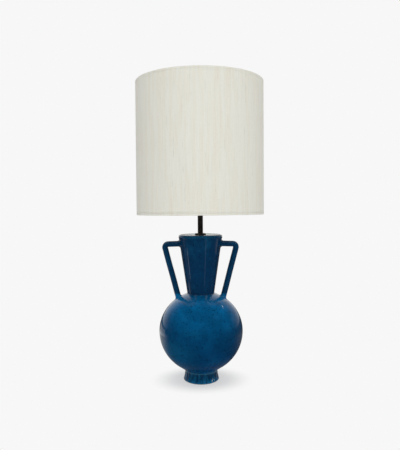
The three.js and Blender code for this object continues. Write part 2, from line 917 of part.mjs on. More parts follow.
function finialKnob() {
  const neckTop = finialKnobBottom + finialNeckHeight;
  const half = (finialKnobHeight - finialNeckHeight) / 2;
  const start = -Math.acos(finialNeckRadius / finialKnobRadius);
  const centre = point(0, neckTop - half * Math.sin(start));
  const outline = [
    point(0, finialKnobBottom),
    point(finialNeckRadius, finialKnobBottom),
    ...ellipsePoints(centre, finialKnobRadius, half, start, Math.PI / 2, 6),
  ];
  return turned(outline, smallSegments);
}

// Flat and tubular pieces that need no shape of their own
function footFelt() {
  return disc(footBottomRadius - feltInset, 0, feltThickness, midSegments);
}

function baseWasher() {
  return tube(pipeHole, washerRadius, washerBottom, washerThickness, midSegments);
}

function threadedPipe() {
  return tube(pipeRadius - pipeWall, pipeRadius, pipeBottom, pipeTop - pipeBottom, smallSegments);
}

function vaseCap() {
  return tube(pipeHole, capRadius, capBottom, capThickness, vaseSegments);
}

function neckCollar() {
  return tube(pipeHole, collarRadius, collarBottom, collarThickness, midSegments);
}

function stemTube() {
  return tube(stemRadius - stemWall, stemRadius, stemBottom, stemLength, midSegments);
}

function centreContact() {
  return disc(contactRadius, socketBodyTop + seatGap, contactThickness, smallSegments);
}

const finishes = {
  felt: { color: 0x2c3a30, roughness: 1, metalness: 0 },
  glaze: { color: 0x0b4a78, roughness: 0.15, metalness: 0 },
  bronze: { color: 0x231e1a, roughness: 0.4, metalness: 0.7 },
  brass: { color: 0x9a7a3c, roughness: 0.3, metalness: 1 },
  zinc: { color: 0xb4b6b8, roughness: 0.4, metalness: 1 },
  nickel: { color: 0xcac9c2, roughness: 0.35, metalness: 0.9 },
  black: { color: 0x161616, roughness: 0.45, metalness: 0 },
  paper: { color: 0xd8d2c0, roughness: 0.9, metalness: 0 },
  opal: { color: 0xf4f2ea, roughness: 0.3, metalness: 0 },
  liner: { color: 0xf2f0e8, roughness: 0.6, metalness: 0 },
  fabric: { color: 0xe2e1d6, roughness: 0.95, metalness: 0 },
};

const lamp = new THREE.Group();

function add(name, geometry, finish) {
  const mesh = new THREE.Mesh(geometry, new THREE.MeshStandardMaterial(finish));
  mesh.name = name;
  lamp.add(mesh);
}

add('foot_felt', footFelt(), finishes.felt);
add('ceramic_body', ceramicBody(), finishes.glaze);
add('handle_left', handle(-1), finishes.glaze);
add('handle_right', handle(1), finishes.glaze);
add('cord_bushing', cordBushing(), finishes.black);
add('base_washer', baseWasher(), finishes.zinc);
add('base_lock_washer', lockWasher(), finishes.zinc);
add('base_nut', nut(), finishes.zinc);
add('threaded_pipe', threadedPipe(), finishes.zinc);
add('vase_cap', vaseCap(), finishes.nickel);
add('neck_collar', neckCollar(), finishes.bronze);
add('stem_tube', stemTube(), finishes.bronze);

add('harp_saddle', harpSaddle(), finishes.bronze);
add('harp_bow', harpBow(), finishes.bronze);
add('harp_stud', harpStud(), finishes.zinc);
add('harp_ferrule_left', ferrule(-1), finishes.brass);
add('harp_ferrule_right', ferrule(1), finishes.brass);

add('socket_cap', socketCap(), finishes.brass);
add('socket_set_screw', setScrew(), finishes.zinc);
add('socket_shell', socketShell(), finishes.brass);
add('socket_sleeve', socketSleeve(), finishes.paper);
add('socket_body', socketBody(), finishes.black);
add('terminal_screw_left', terminalScrew(-1), finishes.zinc);
add('terminal_screw_right', terminalScrew(1), finishes.brass);
add('screw_shell', screwShell(), finishes.brass);
add('centre_contact', centreContact(), finishes.brass);
add('switch_shaft', switchShaft(), finishes.brass);
add('switch_knob', switchKnob(), finishes.black);

add('bulb_contact', bulbContact(), finishes.black);
add('bulb_cap', bulbCap(), finishes.zinc);
add('bulb_glass', bulbGlass(), finishes.opal);
add('bulb_stem', bulbStem(), finishes.opal);
add('bulb_filament', bulbFilament(), finishes.zinc);

add('spider_hub', spiderHub(), finishes.bronze);
for (const [place, share] of Object.entries(armTurnShares)) {
  add(`spider_arm_${place}`, spiderArm(2 * Math.PI * share), finishes.bronze);
}
add('shade_top_ring', shadeRing(ringCentreTop), finishes.bronze);
add('shade_bottom_ring', shadeRing(ringCentreBottom), finishes.bronze);
add('shade_liner', shadeShell(linerRadius, linerThickness), finishes.liner);
add('shade_fabric', shadeShell(fabricRadius, fabricThickness), finishes.fabric);
add('shade_trim_top', shadeTrim(shadeTop, ringCentreTop), finishes.fabric);
add('shade_trim_bottom', shadeTrim(shadeBottom, ringCentreBottom), finishes.fabric);
add('finial_base', finialBase(), finishes.bronze);
add('finial_knob', finialKnob(), finishes.bronze);

export default lamp;
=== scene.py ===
import bpy
import json
import math
from mathutils import Matrix, Vector, noise

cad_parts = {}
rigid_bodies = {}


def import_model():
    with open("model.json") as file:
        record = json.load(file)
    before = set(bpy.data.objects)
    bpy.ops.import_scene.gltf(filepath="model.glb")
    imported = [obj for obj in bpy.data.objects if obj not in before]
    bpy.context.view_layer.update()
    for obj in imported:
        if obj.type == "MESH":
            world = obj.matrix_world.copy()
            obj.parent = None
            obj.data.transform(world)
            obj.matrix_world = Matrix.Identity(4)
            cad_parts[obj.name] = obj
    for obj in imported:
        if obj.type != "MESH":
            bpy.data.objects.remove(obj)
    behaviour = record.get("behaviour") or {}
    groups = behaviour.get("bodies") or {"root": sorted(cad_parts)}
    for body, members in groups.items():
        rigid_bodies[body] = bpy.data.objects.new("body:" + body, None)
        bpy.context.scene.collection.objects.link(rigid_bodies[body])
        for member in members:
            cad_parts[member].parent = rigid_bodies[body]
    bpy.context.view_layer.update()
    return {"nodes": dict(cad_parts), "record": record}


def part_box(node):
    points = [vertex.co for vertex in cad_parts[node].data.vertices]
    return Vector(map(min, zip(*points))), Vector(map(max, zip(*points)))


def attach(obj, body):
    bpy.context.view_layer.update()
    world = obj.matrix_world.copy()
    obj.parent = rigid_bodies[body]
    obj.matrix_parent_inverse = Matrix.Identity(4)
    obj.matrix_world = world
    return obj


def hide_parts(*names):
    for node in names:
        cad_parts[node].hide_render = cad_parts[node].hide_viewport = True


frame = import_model()
print("frame loaded,", len(frame["nodes"]), "nodes")

mm = 0.001
normalWeight = 60
# how many sides wide round pieces and slender ones get
ringSides, rodSides = 96, 40
sideways = Vector((0, 1, 0))
scene = bpy.context.scene
bodies = frame["record"]["behaviour"]["bodies"]
bodyOf = {node: body for body, nodes in bodies.items() for node in nodes}


# mesh helpers take lengths in millimetres
def span(node):
    # bottom, top and half width of a CAD node
    low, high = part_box(node)
    return low.z / mm, high.z / mm, (high.x - low.x) / 2 / mm


def middleOf(node):
    return sum(span(node)[:2]) / 2


def ease(low, high, value):
    t = min(max((value - low) / (high - low), 0), 1)
    return t * t * (3 - 2 * t)


def around(count):
    # evenly spaced angles
    return [2 * math.pi * k / count for k in range(count)]


def meshPiece(name, points, faces):
    mesh = bpy.data.meshes.new(name)
    mesh.from_pydata([tuple(c * mm for c in p) for p in points], [], faces)
    mesh.polygons.foreach_set("use_smooth", [True] * len(mesh.polygons))
    mesh.update()
    piece = bpy.data.objects.new(name, mesh)
    scene.collection.objects.link(piece)
    return piece


def weightNormals(piece):
    piece.modifiers.new("weighted", "WEIGHTED_NORMAL").weight = normalWeight
    return piece


def rounded(corners, steps=4):
    # corners are (radius, height) or (radius, height, how far the rounding reaches)
    outline = []
    for i, corner in enumerate(corners):
        here = Vector(corner[:2])
        if len(corner) < 3:
            outline.append(tuple(here))
            continue
        before = Vector(corners[i - 1][:2])
        after = Vector(corners[(i + 1) % len(corners)][:2])
        start = here + (before - here).normalized() * corner[2]
        end = here + (after - here).normalized() * corner[2]
        for k in range(steps + 1):
            t = k / steps
            outline.append(tuple(start * (1 - t) ** 2 + here * 2 * t * (1 - t) + end * t * t))
    return outline


def arc(centre, radius, height, start, end, steps):
    turns = [start + (end - start) * k / steps for k in range(steps + 1)]
    return [(centre[0] + radius * math.cos(a), centre[1] + height * math.sin(a)) for a in turns]


def curve(steps, *pulls):
    # a smooth curve from the first point to the last, drawn towards those between
    last = len(pulls) - 1
    outline = []
    for k in range(steps + 1):
        t = k / steps
        weights = [math.comb(last, i) * t ** i * (1 - t) ** (last - i) for i in range(last + 1)]
        outline.append(tuple(sum(w * p[i] for w, p in zip(weights, pulls)) for i in (0, 1)))
    return outline


def waviness(a, z, across, upward, offset=0):
    # smooth noise at an angle and a height, without a seam
    return noise.noise(Vector((math.cos(a) * across, math.sin(a) * across, z * upward + offset)))


def rowsUp(radius, low, high, count):
    return [(radius, low + (high - low) * k / count) for k in range(count + 1)]


def softRing(inner, outer, bottom, top, edge, steps=3):
    # a ring's outline with all four corners eased
    corners = [(inner, bottom, edge), (outer, bottom, edge), (outer, top, edge), (inner, top, edge)]
    return rounded(corners, steps)


def turned(name, outline, segments, closed=True, reshape=None, weighted=False):
    # a closed outline makes a ring, an open one starts and ends on the axis; reshape gives each
    # point its own radius and height
    points, faces, rows = [], [], []
    for r, z in outline:
        if r < 1e-6:
            rows.append([len(points)])
            points.append((0, 0, z))
            continue
        rows.append(range(len(points), len(points) + segments))
        for a in around(segments):
            radius, level = reshape(r, a, z) if reshape else (r, z)
            points.append((radius * math.cos(a), radius * math.sin(a), level))
    for low, high in zip(rows, rows[1:] + ([rows[0]] if closed else [])):
        for k in range(segments):
            n = (k + 1) % segments
            loop = [low[k % len(low)], low[n % len(low)], high[n % len(high)], high[k % len(high)]]
            loop = list(dict.fromkeys(loop))
            if len(loop) > 2:
                faces.append(loop)
    piece = meshPiece(name, points, faces)
    return weightNormals(piece) if weighted else piece


def skinned(name, rows, tips=None):
    # a skin over closed rows of points; each end is a fan round its tip, or one flat face
    wide, last = len(rows[0]), len(rows) - 1
    points = [tuple(p) for row in rows for p in row]
    faces = [
        [i * wide + k, i * wide + (k + 1) % wide, (i + 1) * wide + (k + 1) % wide, (i + 1) * wide + k]
        for i in range(last) for k in range(wide)
    ]
    if not tips:
        faces += [list(range(wide))[::-1], [last * wide + k for k in range(wide)]]
    for row, tip in zip((0, last), tips or ()):
        points.append(tuple(tip))
        for k in range(wide):
            a, b = row * wide + k, row * wide + (k + 1) % wide
            faces.append([a, b, len(points) - 1] if row else [b, a, len(points) - 1])
    return meshPiece(name, points, faces)


def swept(name, path, radius, sides, squash=None):
    # a round bar along a path; radius and squash may depend on the share of the path
    path = [Vector(p) for p in path]
    last = len(path) - 1
    lateral = sideways
    rows = []
    for i, centre in enumerate(path):
        ahead = (path[min(i + 1, last)] - path[max(i - 1, 0)]).normalized()
        lateral = (lateral - ahead * lateral.dot(ahead)).normalized()
        other = ahead.cross(lateral)
        r = radius(i / last) if callable(radius) else radius
        wide, thin = squash(i / last) if squash else (1, 1)
        rows.append([
            centre + lateral * r * wide * math.cos(a) + other * r * thin * math.sin(a) for a in around(sides)
        ])
    return skinned(name, rows, (path[0], path[-1]))


def turnAlong(piece, axis="Z", degrees=0, offset=(0, 0, 0)):
    # turns and moves the mesh itself, so that the piece's object stays at the origin
    shift = Matrix.Translation(Vector(offset) * mm)
    piece.data.transform(shift @ Matrix.Rotation(math.radians(degrees), 4, axis))
    piece.data.update()
    return piece


def towardsFront(piece, height):
    # a piece made upright is laid to point out through the front
    return turnAlong(piece, "X", 90, (0, 0, height))


def towardsBack(piece, height):
    return turnAlong(piece, "X", -90, (0, 0, height))


def cutAway(piece, cutter, weighted=True):
    # takes the cutter's room out of the piece
    carve = piece.modifiers.new("carve", "BOOLEAN")
    carve.operation, carve.object, carve.solver = "DIFFERENCE", cutter, "EXACT"
    graph = bpy.context.evaluated_depsgraph_get()
    carved = bpy.data.meshes.new_from_object(piece.evaluated_get(graph))
    spent = (piece.data, cutter.data)
    piece.modifiers.clear()
    piece.data = carved
    bpy.data.objects.remove(cutter)
    for mesh in spent:
        bpy.data.meshes.remove(mesh)
    return weightNormals(piece) if weighted else piece


def rodRoom(radius, start, end, segments):
    # a plain round cutter made upright
    return turned("room", [(0, start), (radius, start), (radius, end), (0, end)], segments, closed=False)


def blockRoom(low, high):
    points = [(x, y, z) for x in (low[0], high[0]) for y in (low[1], high[1]) for z in (low[2], high[2])]
    sides = [[0, 1, 3, 2], [4, 6, 7, 5], [0, 4, 5, 1], [2, 3, 7, 6], [0, 2, 6, 4], [1, 5, 7, 3]]
    return meshPiece("room", points, sides)


def threaded(depth, pitch, low, high, inside):
    # a right-handed thread cut into what lies further out than the inside radius
    def shape(r, a, z):
        if r < inside or not low < z < high:
            return r, z
        wave = (1 + math.cos(2 * math.pi * z / pitch - a)) / 2
        fade = ease(low, low + pitch / 2, z) * (1 - ease(high - pitch / 2, high, z))
        return r - depth * fade * (1 - wave), z
    return shape


def finished(piece, node, slot):
    # the piece stands for its CAD node, rides on that node's body and takes its finish
    piece.data.materials.clear()
    piece.data.materials.append(finish[slot])
    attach(piece, bodyOf[node])
    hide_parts(node)
    return piece


# what a shader helper takes may be a fixed value or another node's output
def place(tree, kind, inputs=None, **settings):
    made = tree.nodes.new(kind)
    for key, value in settings.items():
        setattr(made, key, value)
    for key, value in (inputs or {}).items():
        if isinstance(value, bpy.types.NodeSocket):
            tree.links.new(value, made.inputs[key])
        else:
            made.inputs[key].default_value = value
    return made


def feed(tree, inputs, sources):
    for label, source in sources.items():
        tree.links.new(source, inputs[label])


def maths(tree, operation, *terms):
    return place(tree, "ShaderNodeMath", dict(enumerate(terms)), operation=operation).outputs[0]


def times(tree, first, second):
    return maths(tree, "MULTIPLY", first, second)


def plus(tree, first, second):
    return maths(tree, "ADD", first, second)


def clamped(tree, value):
    return place(tree, "ShaderNodeClamp", {"Value": value}).outputs[0]


def reach(tree, value, low, high, outLow=0.0, outHigh=1.0, interpolation="SMOOTHSTEP"):
    limits = {"Value": value, "From Min": low, "From Max": high, "To Min": outLow, "To Max": outHigh}
    return place(tree, "ShaderNodeMapRange", limits, interpolation_type=interpolation).outputs["Result"]


def blendColour(tree, factor, first, second):
    return place(tree, "ShaderNodeMix", {0: factor, 6: first, 7: second}, data_type="RGBA").outputs[2]


def tinted(tree, base, colour, mask, share):
    # lays a colour over the base where the mask is, up to a share of it
    return blendColour(tree, times(tree, mask, share), base, colour)


def objectPoint(tree):
    return place(tree, "ShaderNodeTexCoord").outputs["Object"]


def separated(tree, vector):
    return place(tree, "ShaderNodeSeparateXYZ", {0: vector}).outputs


def stretched(tree, vector, factors):
    return place(tree, "ShaderNodeVectorMath", {0: vector, 1: factors}, operation="MULTIPLY").outputs[0]


def noiseAt(tree, where, scale, detail, roughness=0.5):
    values = {"Vector": where, "Scale": scale, "Detail": detail, "Roughness": roughness}
    return place(tree, "ShaderNodeTexNoise", values).outputs[0]


def bumped(tree, shader, height, strength, distance):
    bump = place(tree, "ShaderNodeBump", {"Height": height, "Strength": strength, "Distance": distance})
    feed(tree, shader.inputs, {"Normal": bump.outputs["Normal"]})


def newMaterial(name, values):
    material = bpy.data.materials.new(name)
    material.use_nodes = True
    shader = material.node_tree.nodes["Principled BSDF"]
    for label, value in values.items():
        shader.inputs[label].default_value = value
    return material, material.node_tree, shader


def startGroup(name, inputs, outputs):
    # inputs come with their usual values
    group = bpy.data.node_groups.new(name, "ShaderNodeTree")
    kind = "NodeSocketFloat"
    for label, value in inputs.items():
        group.interface.new_socket(name=label, in_out="INPUT", socket_type=kind).default_value = value
    for label in outputs:
        group.interface.new_socket(name=label, in_out="OUTPUT", socket_type=kind)
    return group, group.nodes.new("NodeGroupInput").outputs, group.nodes.new("NodeGroupOutput").inputs


def useGroup(tree, group, **values):
    return place(tree, "ShaderNodeGroup", values, node_tree=group).outputs


grainLook = {"coarse": (4.0, 0.6), "fine": (2.0, 0.5), "finer": 6.0, "gain": 4.0}


def makeGrain():
    # uneven grain, with a finer one beside it
    look = grainLook
    group, ins, outs = startGroup("surfaceGrain", {"Scale": 60.0, "Contrast": 0.5}, ("Grain", "Fine"))
    where = objectPoint(group)
    coarse = noiseAt(group, where, ins["Scale"], *look["coarse"])
    fineScale = times(group, ins["Scale"], look["finer"])
    centred = maths(group, "SUBTRACT", coarse, 0.5)
    spread = times(group, centred, times(group, ins["Contrast"], look["gain"]))
    feed(group, outs, {
        "Grain": clamped(group, plus(group, spread, 0.5)),
        "Fine": noiseAt(group, where, fineScale, *look["fine"]),
    })
    return group


turningLook = {"lines": (3.0, 0.7), "patches": (90.0, 3.0)}


def makeTurning():
    # fine lines round the axis that a lathe or a polishing wheel leaves
    group, ins, outs = startGroup("turningLines", {"Scale": 900.0}, ("Lines", "Patches"))
    where = objectPoint(group)
    across, back, level = separated(group, where)
    squares = plus(group, times(group, across, across), times(group, back, back))
    rings = place(group, "ShaderNodeCombineXYZ", {0: maths(group, "SQRT", squares), 2: level}).outputs[0]
    feed(group, outs, {
        "Lines": noiseAt(group, rings, ins["Scale"], *turningLook["lines"]),
        "Patches": noiseAt(group, where, *turningLook["patches"]),
    })
    return group


rubLook = {"breakDetail": 3.0, "unevenness": 1.4, "least": 0.1}


def makeEdgeRub():
    # a mask of convex edges that are rubbed, and one of creases
    look = rubLook
    group, ins, outs = startGroup("edgeRub", {"Reach": 0.06, "Breakup": 250.0}, ("Rubbed", "Crease"))
    bend = place(group, "ShaderNodeNewGeometry").outputs["Pointiness"]
    broken = noiseAt(group, objectPoint(group), ins["Breakup"], look["breakDetail"])
    uneven = plus(group, times(group, broken, look["unevenness"]), look["least"])
    for label, signed in (("Rubbed", (bend, 0.5)), ("Crease", (0.5, bend))):
        bent = maths(group, "DIVIDE", maths(group, "SUBTRACT", *signed), ins["Reach"])
        feed(group, outs, {label: clamped(group, times(group, bent, uneven))})
    return group


speckLook = {"sizeSpread": 0.8, "leastSize": 0.2, "softness": 0.6}


def makeSpecks():
    # scattered small spots, each of its own size
    look = speckLook
    usual = {"Scale": 300.0, "Size": 0.2, "Share": 0.4}
    group, ins, outs = startGroup("scatteredSpecks", usual, ("Specks",))
    where = objectPoint(group)
    cells = place(group, "ShaderNodeTexVoronoi", {"Vector": where, "Scale": ins["Scale"]}).outputs
    chance = place(group, "ShaderNodeSeparateColor", {0: cells["Color"]}).outputs
    kept = maths(group, "LESS_THAN", chance[0], ins["Share"])
    own = plus(group, times(group, chance[1], look["sizeSpread"]), look["leastSize"])
    size = times(group, ins["Size"], own)
    depth = maths(group, "SUBTRACT", size, cells["Distance"])
    spot = clamped(group, maths(group, "DIVIDE", depth, times(group, size, look["softness"])))
    feed(group, outs, {"Specks": times(group, spot, kept)})
    return group


dustLook = {"cloud": (55.0, 5.0), "facing": (0.5, 1.0), "broken": (0.35, 0.75)}


def makeDust():
    # thin dust on what faces up
    look = dustLook
    group, ins, outs = startGroup("settledDust", {"Amount": 0.3}, ("Dust",))
    facing = separated(group, place(group, "ShaderNodeNewGeometry").outputs["Normal"])[2]
    cloud = noiseAt(group, objectPoint(group), *look["cloud"])
    level = times(group, reach(group, facing, *look["facing"]), reach(group, cloud, *look["broken"]))
    feed(group, outs, {"Dust": times(group, level, ins["Amount"])})
    return group


yarnLook = {
    # streaks, fine streaks, warmth, mottle and slubs, each with how fine it is round the shade and
    # up it, its offset, detail and roughness
    "noises": [
        (100, 13, 3, 4.0, 0.6),
        (190, 26, 11, 3.0, 0.6),
        (17, 6.5, 27, 3.0, 0.55),
        (30, 150, 61, 4.0, 0.65),
        (120, 22, 47, 1.0, 0.4),
    ],
    "slubs": (0.72, 0.80), "warps": 1400.0, "wefts": 9000.0, "threads": 0.25,
    "streaks": 0.43, "fineStreaks": 0.35, "mottle": 0.22, "fineHeight": 1.2,
}


def makeYarn():
    # upright slubby yarns round the shade's axis, crossed by fine even ones
    look = yarnLook
    outputs = ("Streaks", "Threads", "Dark Slubs", "Warmth", "Height")
    group, ins, outs = startGroup("slubbyYarn", {"Yarns": 1.0, "Slubs": 1.0}, outputs)
    side, back, level = separated(group, objectPoint(group))
    flat = place(group, "ShaderNodeCombineXYZ", {0: side, 1: back}).outputs[0]
    outward = place(group, "ShaderNodeVectorMath", {0: flat}, operation="NORMALIZE").outputs[0]

    def ringNoise(across, upward, offset, detail, roughness):
        # noise at a point on a circle, so that the pattern has no seam of its own
        wide = stretched(group, outward, (across, across, 0))
        high = plus(group, times(group, level, upward), offset)
        lifted = place(group, "ShaderNodeCombineXYZ", {2: high}).outputs[0]
        spot = place(group, "ShaderNodeVectorMath", {0: wide, 1: lifted}, operation="ADD").outputs[0]
        return noiseAt(group, spot, 1.0, detail, roughness)
    streak, fineStreak, warm, mottle, slub = (ringNoise(*values) for values in look["noises"])
    slubs = times(group, reach(group, slub, *look["slubs"]), ins["Slubs"])
    turn = maths(group, "ARCTAN2", back, side)
    warp = maths(group, "SINE", times(group, turn, times(group, ins["Yarns"], look["warps"])))
    weft = maths(group, "SINE", times(group, level, look["wefts"]))
    threads = times(group, plus(group, warp, weft), look["threads"])
    woven = plus(group, times(group, streak, look["streaks"]), times(group, fineStreak, look["fineStreaks"]))
    feed(group, outs, {
        "Streaks": plus(group, woven, times(group, mottle, look["mottle"])),
        "Threads": threads,
        "Dark Slubs": slubs,
        "Warmth": warm,
        "Height": plus(group, times(group, fineStreak, look["fineHeight"]), plus(group, threads, slubs)),
    })
    return group


surfaceGrain = makeGrain()
turningLines = makeTurning()
edgeRub = makeEdgeRub()
scatteredSpecks = makeSpecks()
settledDust = makeDust()
slubbyYarn = makeYarn()
print("shared effects made")


glazeLook = {
    # colour by height above the floor, in metres, with painted light: the globe lighter towards its shoulder
    # as if lit
    # from above, up to a painted highlight band under the neck; painted shade on the neck; painted highlight
    # lines at the foot's bottom edge, at its top edge (partly thin glaze there) and at the lip
    "heightColoursWithPaintedLight": [
        (0.000, (0.0200, 0.200, 0.420, 1)), (0.007, (0.0030, 0.080, 0.185, 1)),
        (0.015, (0.0010, 0.036, 0.092, 1)), (0.0255, (0.0008, 0.028, 0.076, 1)),
        (0.0278, (0.0160, 0.130, 0.200, 1)), (0.0300, (0.0008, 0.075, 0.210, 1)),
        (0.040, (0.0004, 0.054, 0.165, 1)), (0.060, (0.0004, 0.036, 0.116, 1)),
        (0.110, (0.0005, 0.035, 0.108, 1)), (0.150, (0.0006, 0.045, 0.125, 1)),
        (0.195, (0.0008, 0.093, 0.240, 1)), (0.230, (0.0010, 0.130, 0.330, 1)),
        (0.2408, (0.0010, 0.100, 0.245, 1)), (0.2420, (0.0003, 0.022, 0.068, 1)),
        (0.300, (0.0003, 0.027, 0.082, 1)), (0.392, (0.0003, 0.024, 0.070, 1)),
        (0.3975, (0.0003, 0.021, 0.062, 1)), (0.4005, (0.0015, 0.048, 0.105, 1)),
        (0.4030, (0.0006, 0.021, 0.058, 1)),
    ],
    "top": 0.41,
    "pooled": (0.0004, 0.018, 0.056, 1),
    "thin": (0.0040, 0.105, 0.215, 1),
    # lighter colour on convex edges: thin glaze breaking there, and partly a painted highlight
    "edge": (0.020, 0.150, 0.270, 1),
    "speck": (0.001, 0.011, 0.030, 1),
    # scale, detail and roughness of each noise
    "broad": (13.0, 6.0, 0.6), "small": (95.0, 6.0, 0.75), "runs": (190.0, 2.0, 0.6),
    # noise, where a colour starts and is full, that colour, its share
    "patches": [
        ("broad", 0.60, 0.42, "pooled", 0.42), ("broad", 0.54, 0.70, "thin", 0.24),
        ("small", 0.50, 0.72, "thin", 0.16), ("small", 0.48, 0.30, "pooled", 0.36),
    ],
    # lighter low on the left of the globe, and darker on the handles; in metres
    "lowLeft": {"side": (0.02, -0.10), "level": (0.150, 0.100), "share": 0.50},
    "handles": {"side": (0.066, 0.074), "level": (0.235, 0.250), "share": 0.40},
    # upright light and dark streaks on the foot, partly glaze runs and partly painted light and shade of its
    # flutes, with where each colour starts and is full, and its share
    "footLevel": (0.0300, 0.0260), "footStreakStretch": (1, 1, 0.12),
    "footStreakColours": [("thin", 0.52, 0.66, 0.45), ("pooled", 0.48, 0.36, 0.75)],
    "rub": {"Reach": 0.05, "Breakup": 120.0}, "rubShare": 0.35,
    "specks": [{"Scale": 270.0, "Size": 0.42, "Share": 0.6}, {"Scale": 150.0, "Size": 0.40, "Share": 0.7}],
    "speckShare": 0.85, "grain": {"Scale": 30.0, "Contrast": 0.6},
    # it is glossiest on the foot, the shoulder, the neck and the handles, and towards its edges
    "glossAbove": (0.216, 0.226), "glossBelow": (0.036, 0.028),
    "glossAway": (0.28, 0.60, 0.0, 0.9), "glossAwayLevel": (0.085, 0.130),
    "roughness": (0.16, 0.30), "speckHeight": 0.25, "bump": (0.12, 0.002),
}


def glazeMaterial():
    look = glazeLook
    material, tree, shader = newMaterial("glaze", {
        "Roughness": 0.22, "IOR": 1.5, "Specular IOR Level": 0.06, "Specular Tint": (0.1, 0.5, 1.0, 1),
        "Coat Roughness": 0.04, "Coat IOR": 1.5,
    })
    where = objectPoint(tree)
    side, _, level = separated(tree, where)
    # the colour by height carries the painted light, painted shade and painted highlight lines listed above
    ramp = place(tree, "ShaderNodeValToRGB", {0: maths(tree, "DIVIDE", level, look["top"])})
    stops = ramp.color_ramp.elements
    while len(stops) < len(look["heightColoursWithPaintedLight"]):
        stops.new(0.5)
    for stop, (height, colour) in zip(stops, look["heightColoursWithPaintedLight"]):
        stop.position = height / look["top"]
        stop.color = colour
    base = ramp.outputs[0]
    fields = {name: noiseAt(tree, where, *look[name]) for name in ("broad", "small")}
    for name, start, full, colour, share in look["patches"]:
        base = tinted(tree, base, look[colour], reach(tree, fields[name], start, full), share)
    eitherSide = maths(tree, "ABSOLUTE", side)
    for area, along, colour in (("lowLeft", side, "thin"), ("handles", eitherSide, "pooled")):
        there = look[area]
        mask = times(tree, reach(tree, along, *there["side"]), reach(tree, level, *there["level"]))
        base = tinted(tree, base, look[colour], mask, there["share"])
    # painted light and shade of the foot's flutes, as upright streaks mixed with glaze runs
    onFoot = reach(tree, level, *look["footLevel"])
    runs = noiseAt(tree, stretched(tree, where, look["footStreakStretch"]), *look["runs"])
    for colour, start, full, share in look["footStreakColours"]:
        amount = times(tree, onFoot, share)
        base = tinted(tree, base, look[colour], reach(tree, runs, start, full), amount)
    # lighter on convex edges: thin glaze breaking there, and a painted highlight line along the lip and the
    # ridges
    edgeBreakAndHighlight = useGroup(tree, edgeRub, **look["rub"])["Rubbed"]
    base = tinted(tree, base, look["edge"], edgeBreakAndHighlight, look["rubShare"])
    fine, large = (useGroup(tree, scatteredSpecks, **values)["Specks"] for values in look["specks"])
    spots = times(tree, maths(tree, "MAXIMUM", fine, large), look["speckShare"])
    grain = useGroup(tree, surfaceGrain, **look["grain"])["Grain"]
    high, low = reach(tree, level, *look["glossAbove"]), reach(tree, level, *look["glossBelow"])
    turnedAway = place(tree, "ShaderNodeLayerWeight", {"Blend": 0.5}).outputs["Facing"]
    atEdge = reach(tree, turnedAway, *look["glossAway"])
    atEdge = times(tree, atEdge, reach(tree, level, *look["glossAwayLevel"]))
    feed(tree, shader.inputs, {
        "Base Color": blendColour(tree, spots, base, look["speck"]),
        "Roughness": reach(tree, grain, 0.0, 1.0, *look["roughness"]),
        "Coat Weight": maths(tree, "MAXIMUM", maths(tree, "MAXIMUM", high, low), atEdge),
    })
    bumped(tree, shader, plus(tree, grain, times(tree, spots, look["speckHeight"])), *look["bump"])
    return material


metalLook = {
    "metallic": 1.0, "level": 0.5, "lines": 900.0, "dustAmount": 0.2, "rubShare": 0.5,
    "patches": (0.3, 0.7), "grain": {"Scale": 140.0, "Contrast": 0.5},
    "rub": {"Reach": 0.08, "Breakup": 400.0}, "crease": 0.35, "creaseShare": 0.5,
    "dust": (0.42, 0.40, 0.37, 1), "lineRough": 0.3, "grainRough": 0.2, "evenRough": 0.25, "roughSpread": 0.5,
    "dustRough": 0.4, "fineHeight": 0.3, "bump": (0.25, 0.0001),
}


def metalMaterial(name, colour, dull, shine, roughness, **extra):
    # extra changes the usual values above
    look = {**metalLook, **extra}
    material, tree, shader = newMaterial(name, {
        "Metallic": look["metallic"], "Roughness": roughness, "Specular IOR Level": look["level"],
    })
    turning = useGroup(tree, turningLines, Scale=look["lines"])
    grain = useGroup(tree, surfaceGrain, **look["grain"])
    rub = useGroup(tree, edgeRub, **look["rub"])
    dust = useGroup(tree, settledDust, Amount=look["dustAmount"])["Dust"]
    dark = tuple(c * look["crease"] for c in colour[:3]) + (1,)
    base = blendColour(tree, reach(tree, turning["Patches"], *look["patches"]), dull, colour)
    base = tinted(tree, base, dark, rub["Crease"], look["creaseShare"])
    base = tinted(tree, base, shine, rub["Rubbed"], look["rubShare"])
    lineRough = times(tree, turning["Lines"], look["lineRough"])
    uneven = plus(tree, lineRough, times(tree, grain["Grain"], look["grainRough"]))
    uneven = times(tree, maths(tree, "SUBTRACT", uneven, look["evenRough"]), look["roughSpread"])
    feed(tree, shader.inputs, {
        "Base Color": blendColour(tree, dust, base, look["dust"]),
        "Roughness": plus(tree, plus(tree, uneven, roughness), times(tree, dust, look["dustRough"])),
    })
    height = plus(tree, turning["Lines"], times(tree, grain["Fine"], look["fineHeight"]))
    bumped(tree, shader, height, *look["bump"])
    return material


plainLook = {
    "dust": (0.6, 0.59, 0.56, 1), "dustAmount": 0.12, "fleckScale": 3, "flecks": {"Size": 0.3, "Share": 0.4},
    "fleckShare": 0.6, "fineHeight": 0.5, "spread": 0.1, "scale": 160.0, "contrast": 0.6,
    "bump": (0.3, 0.0002), "fleck": None,
}


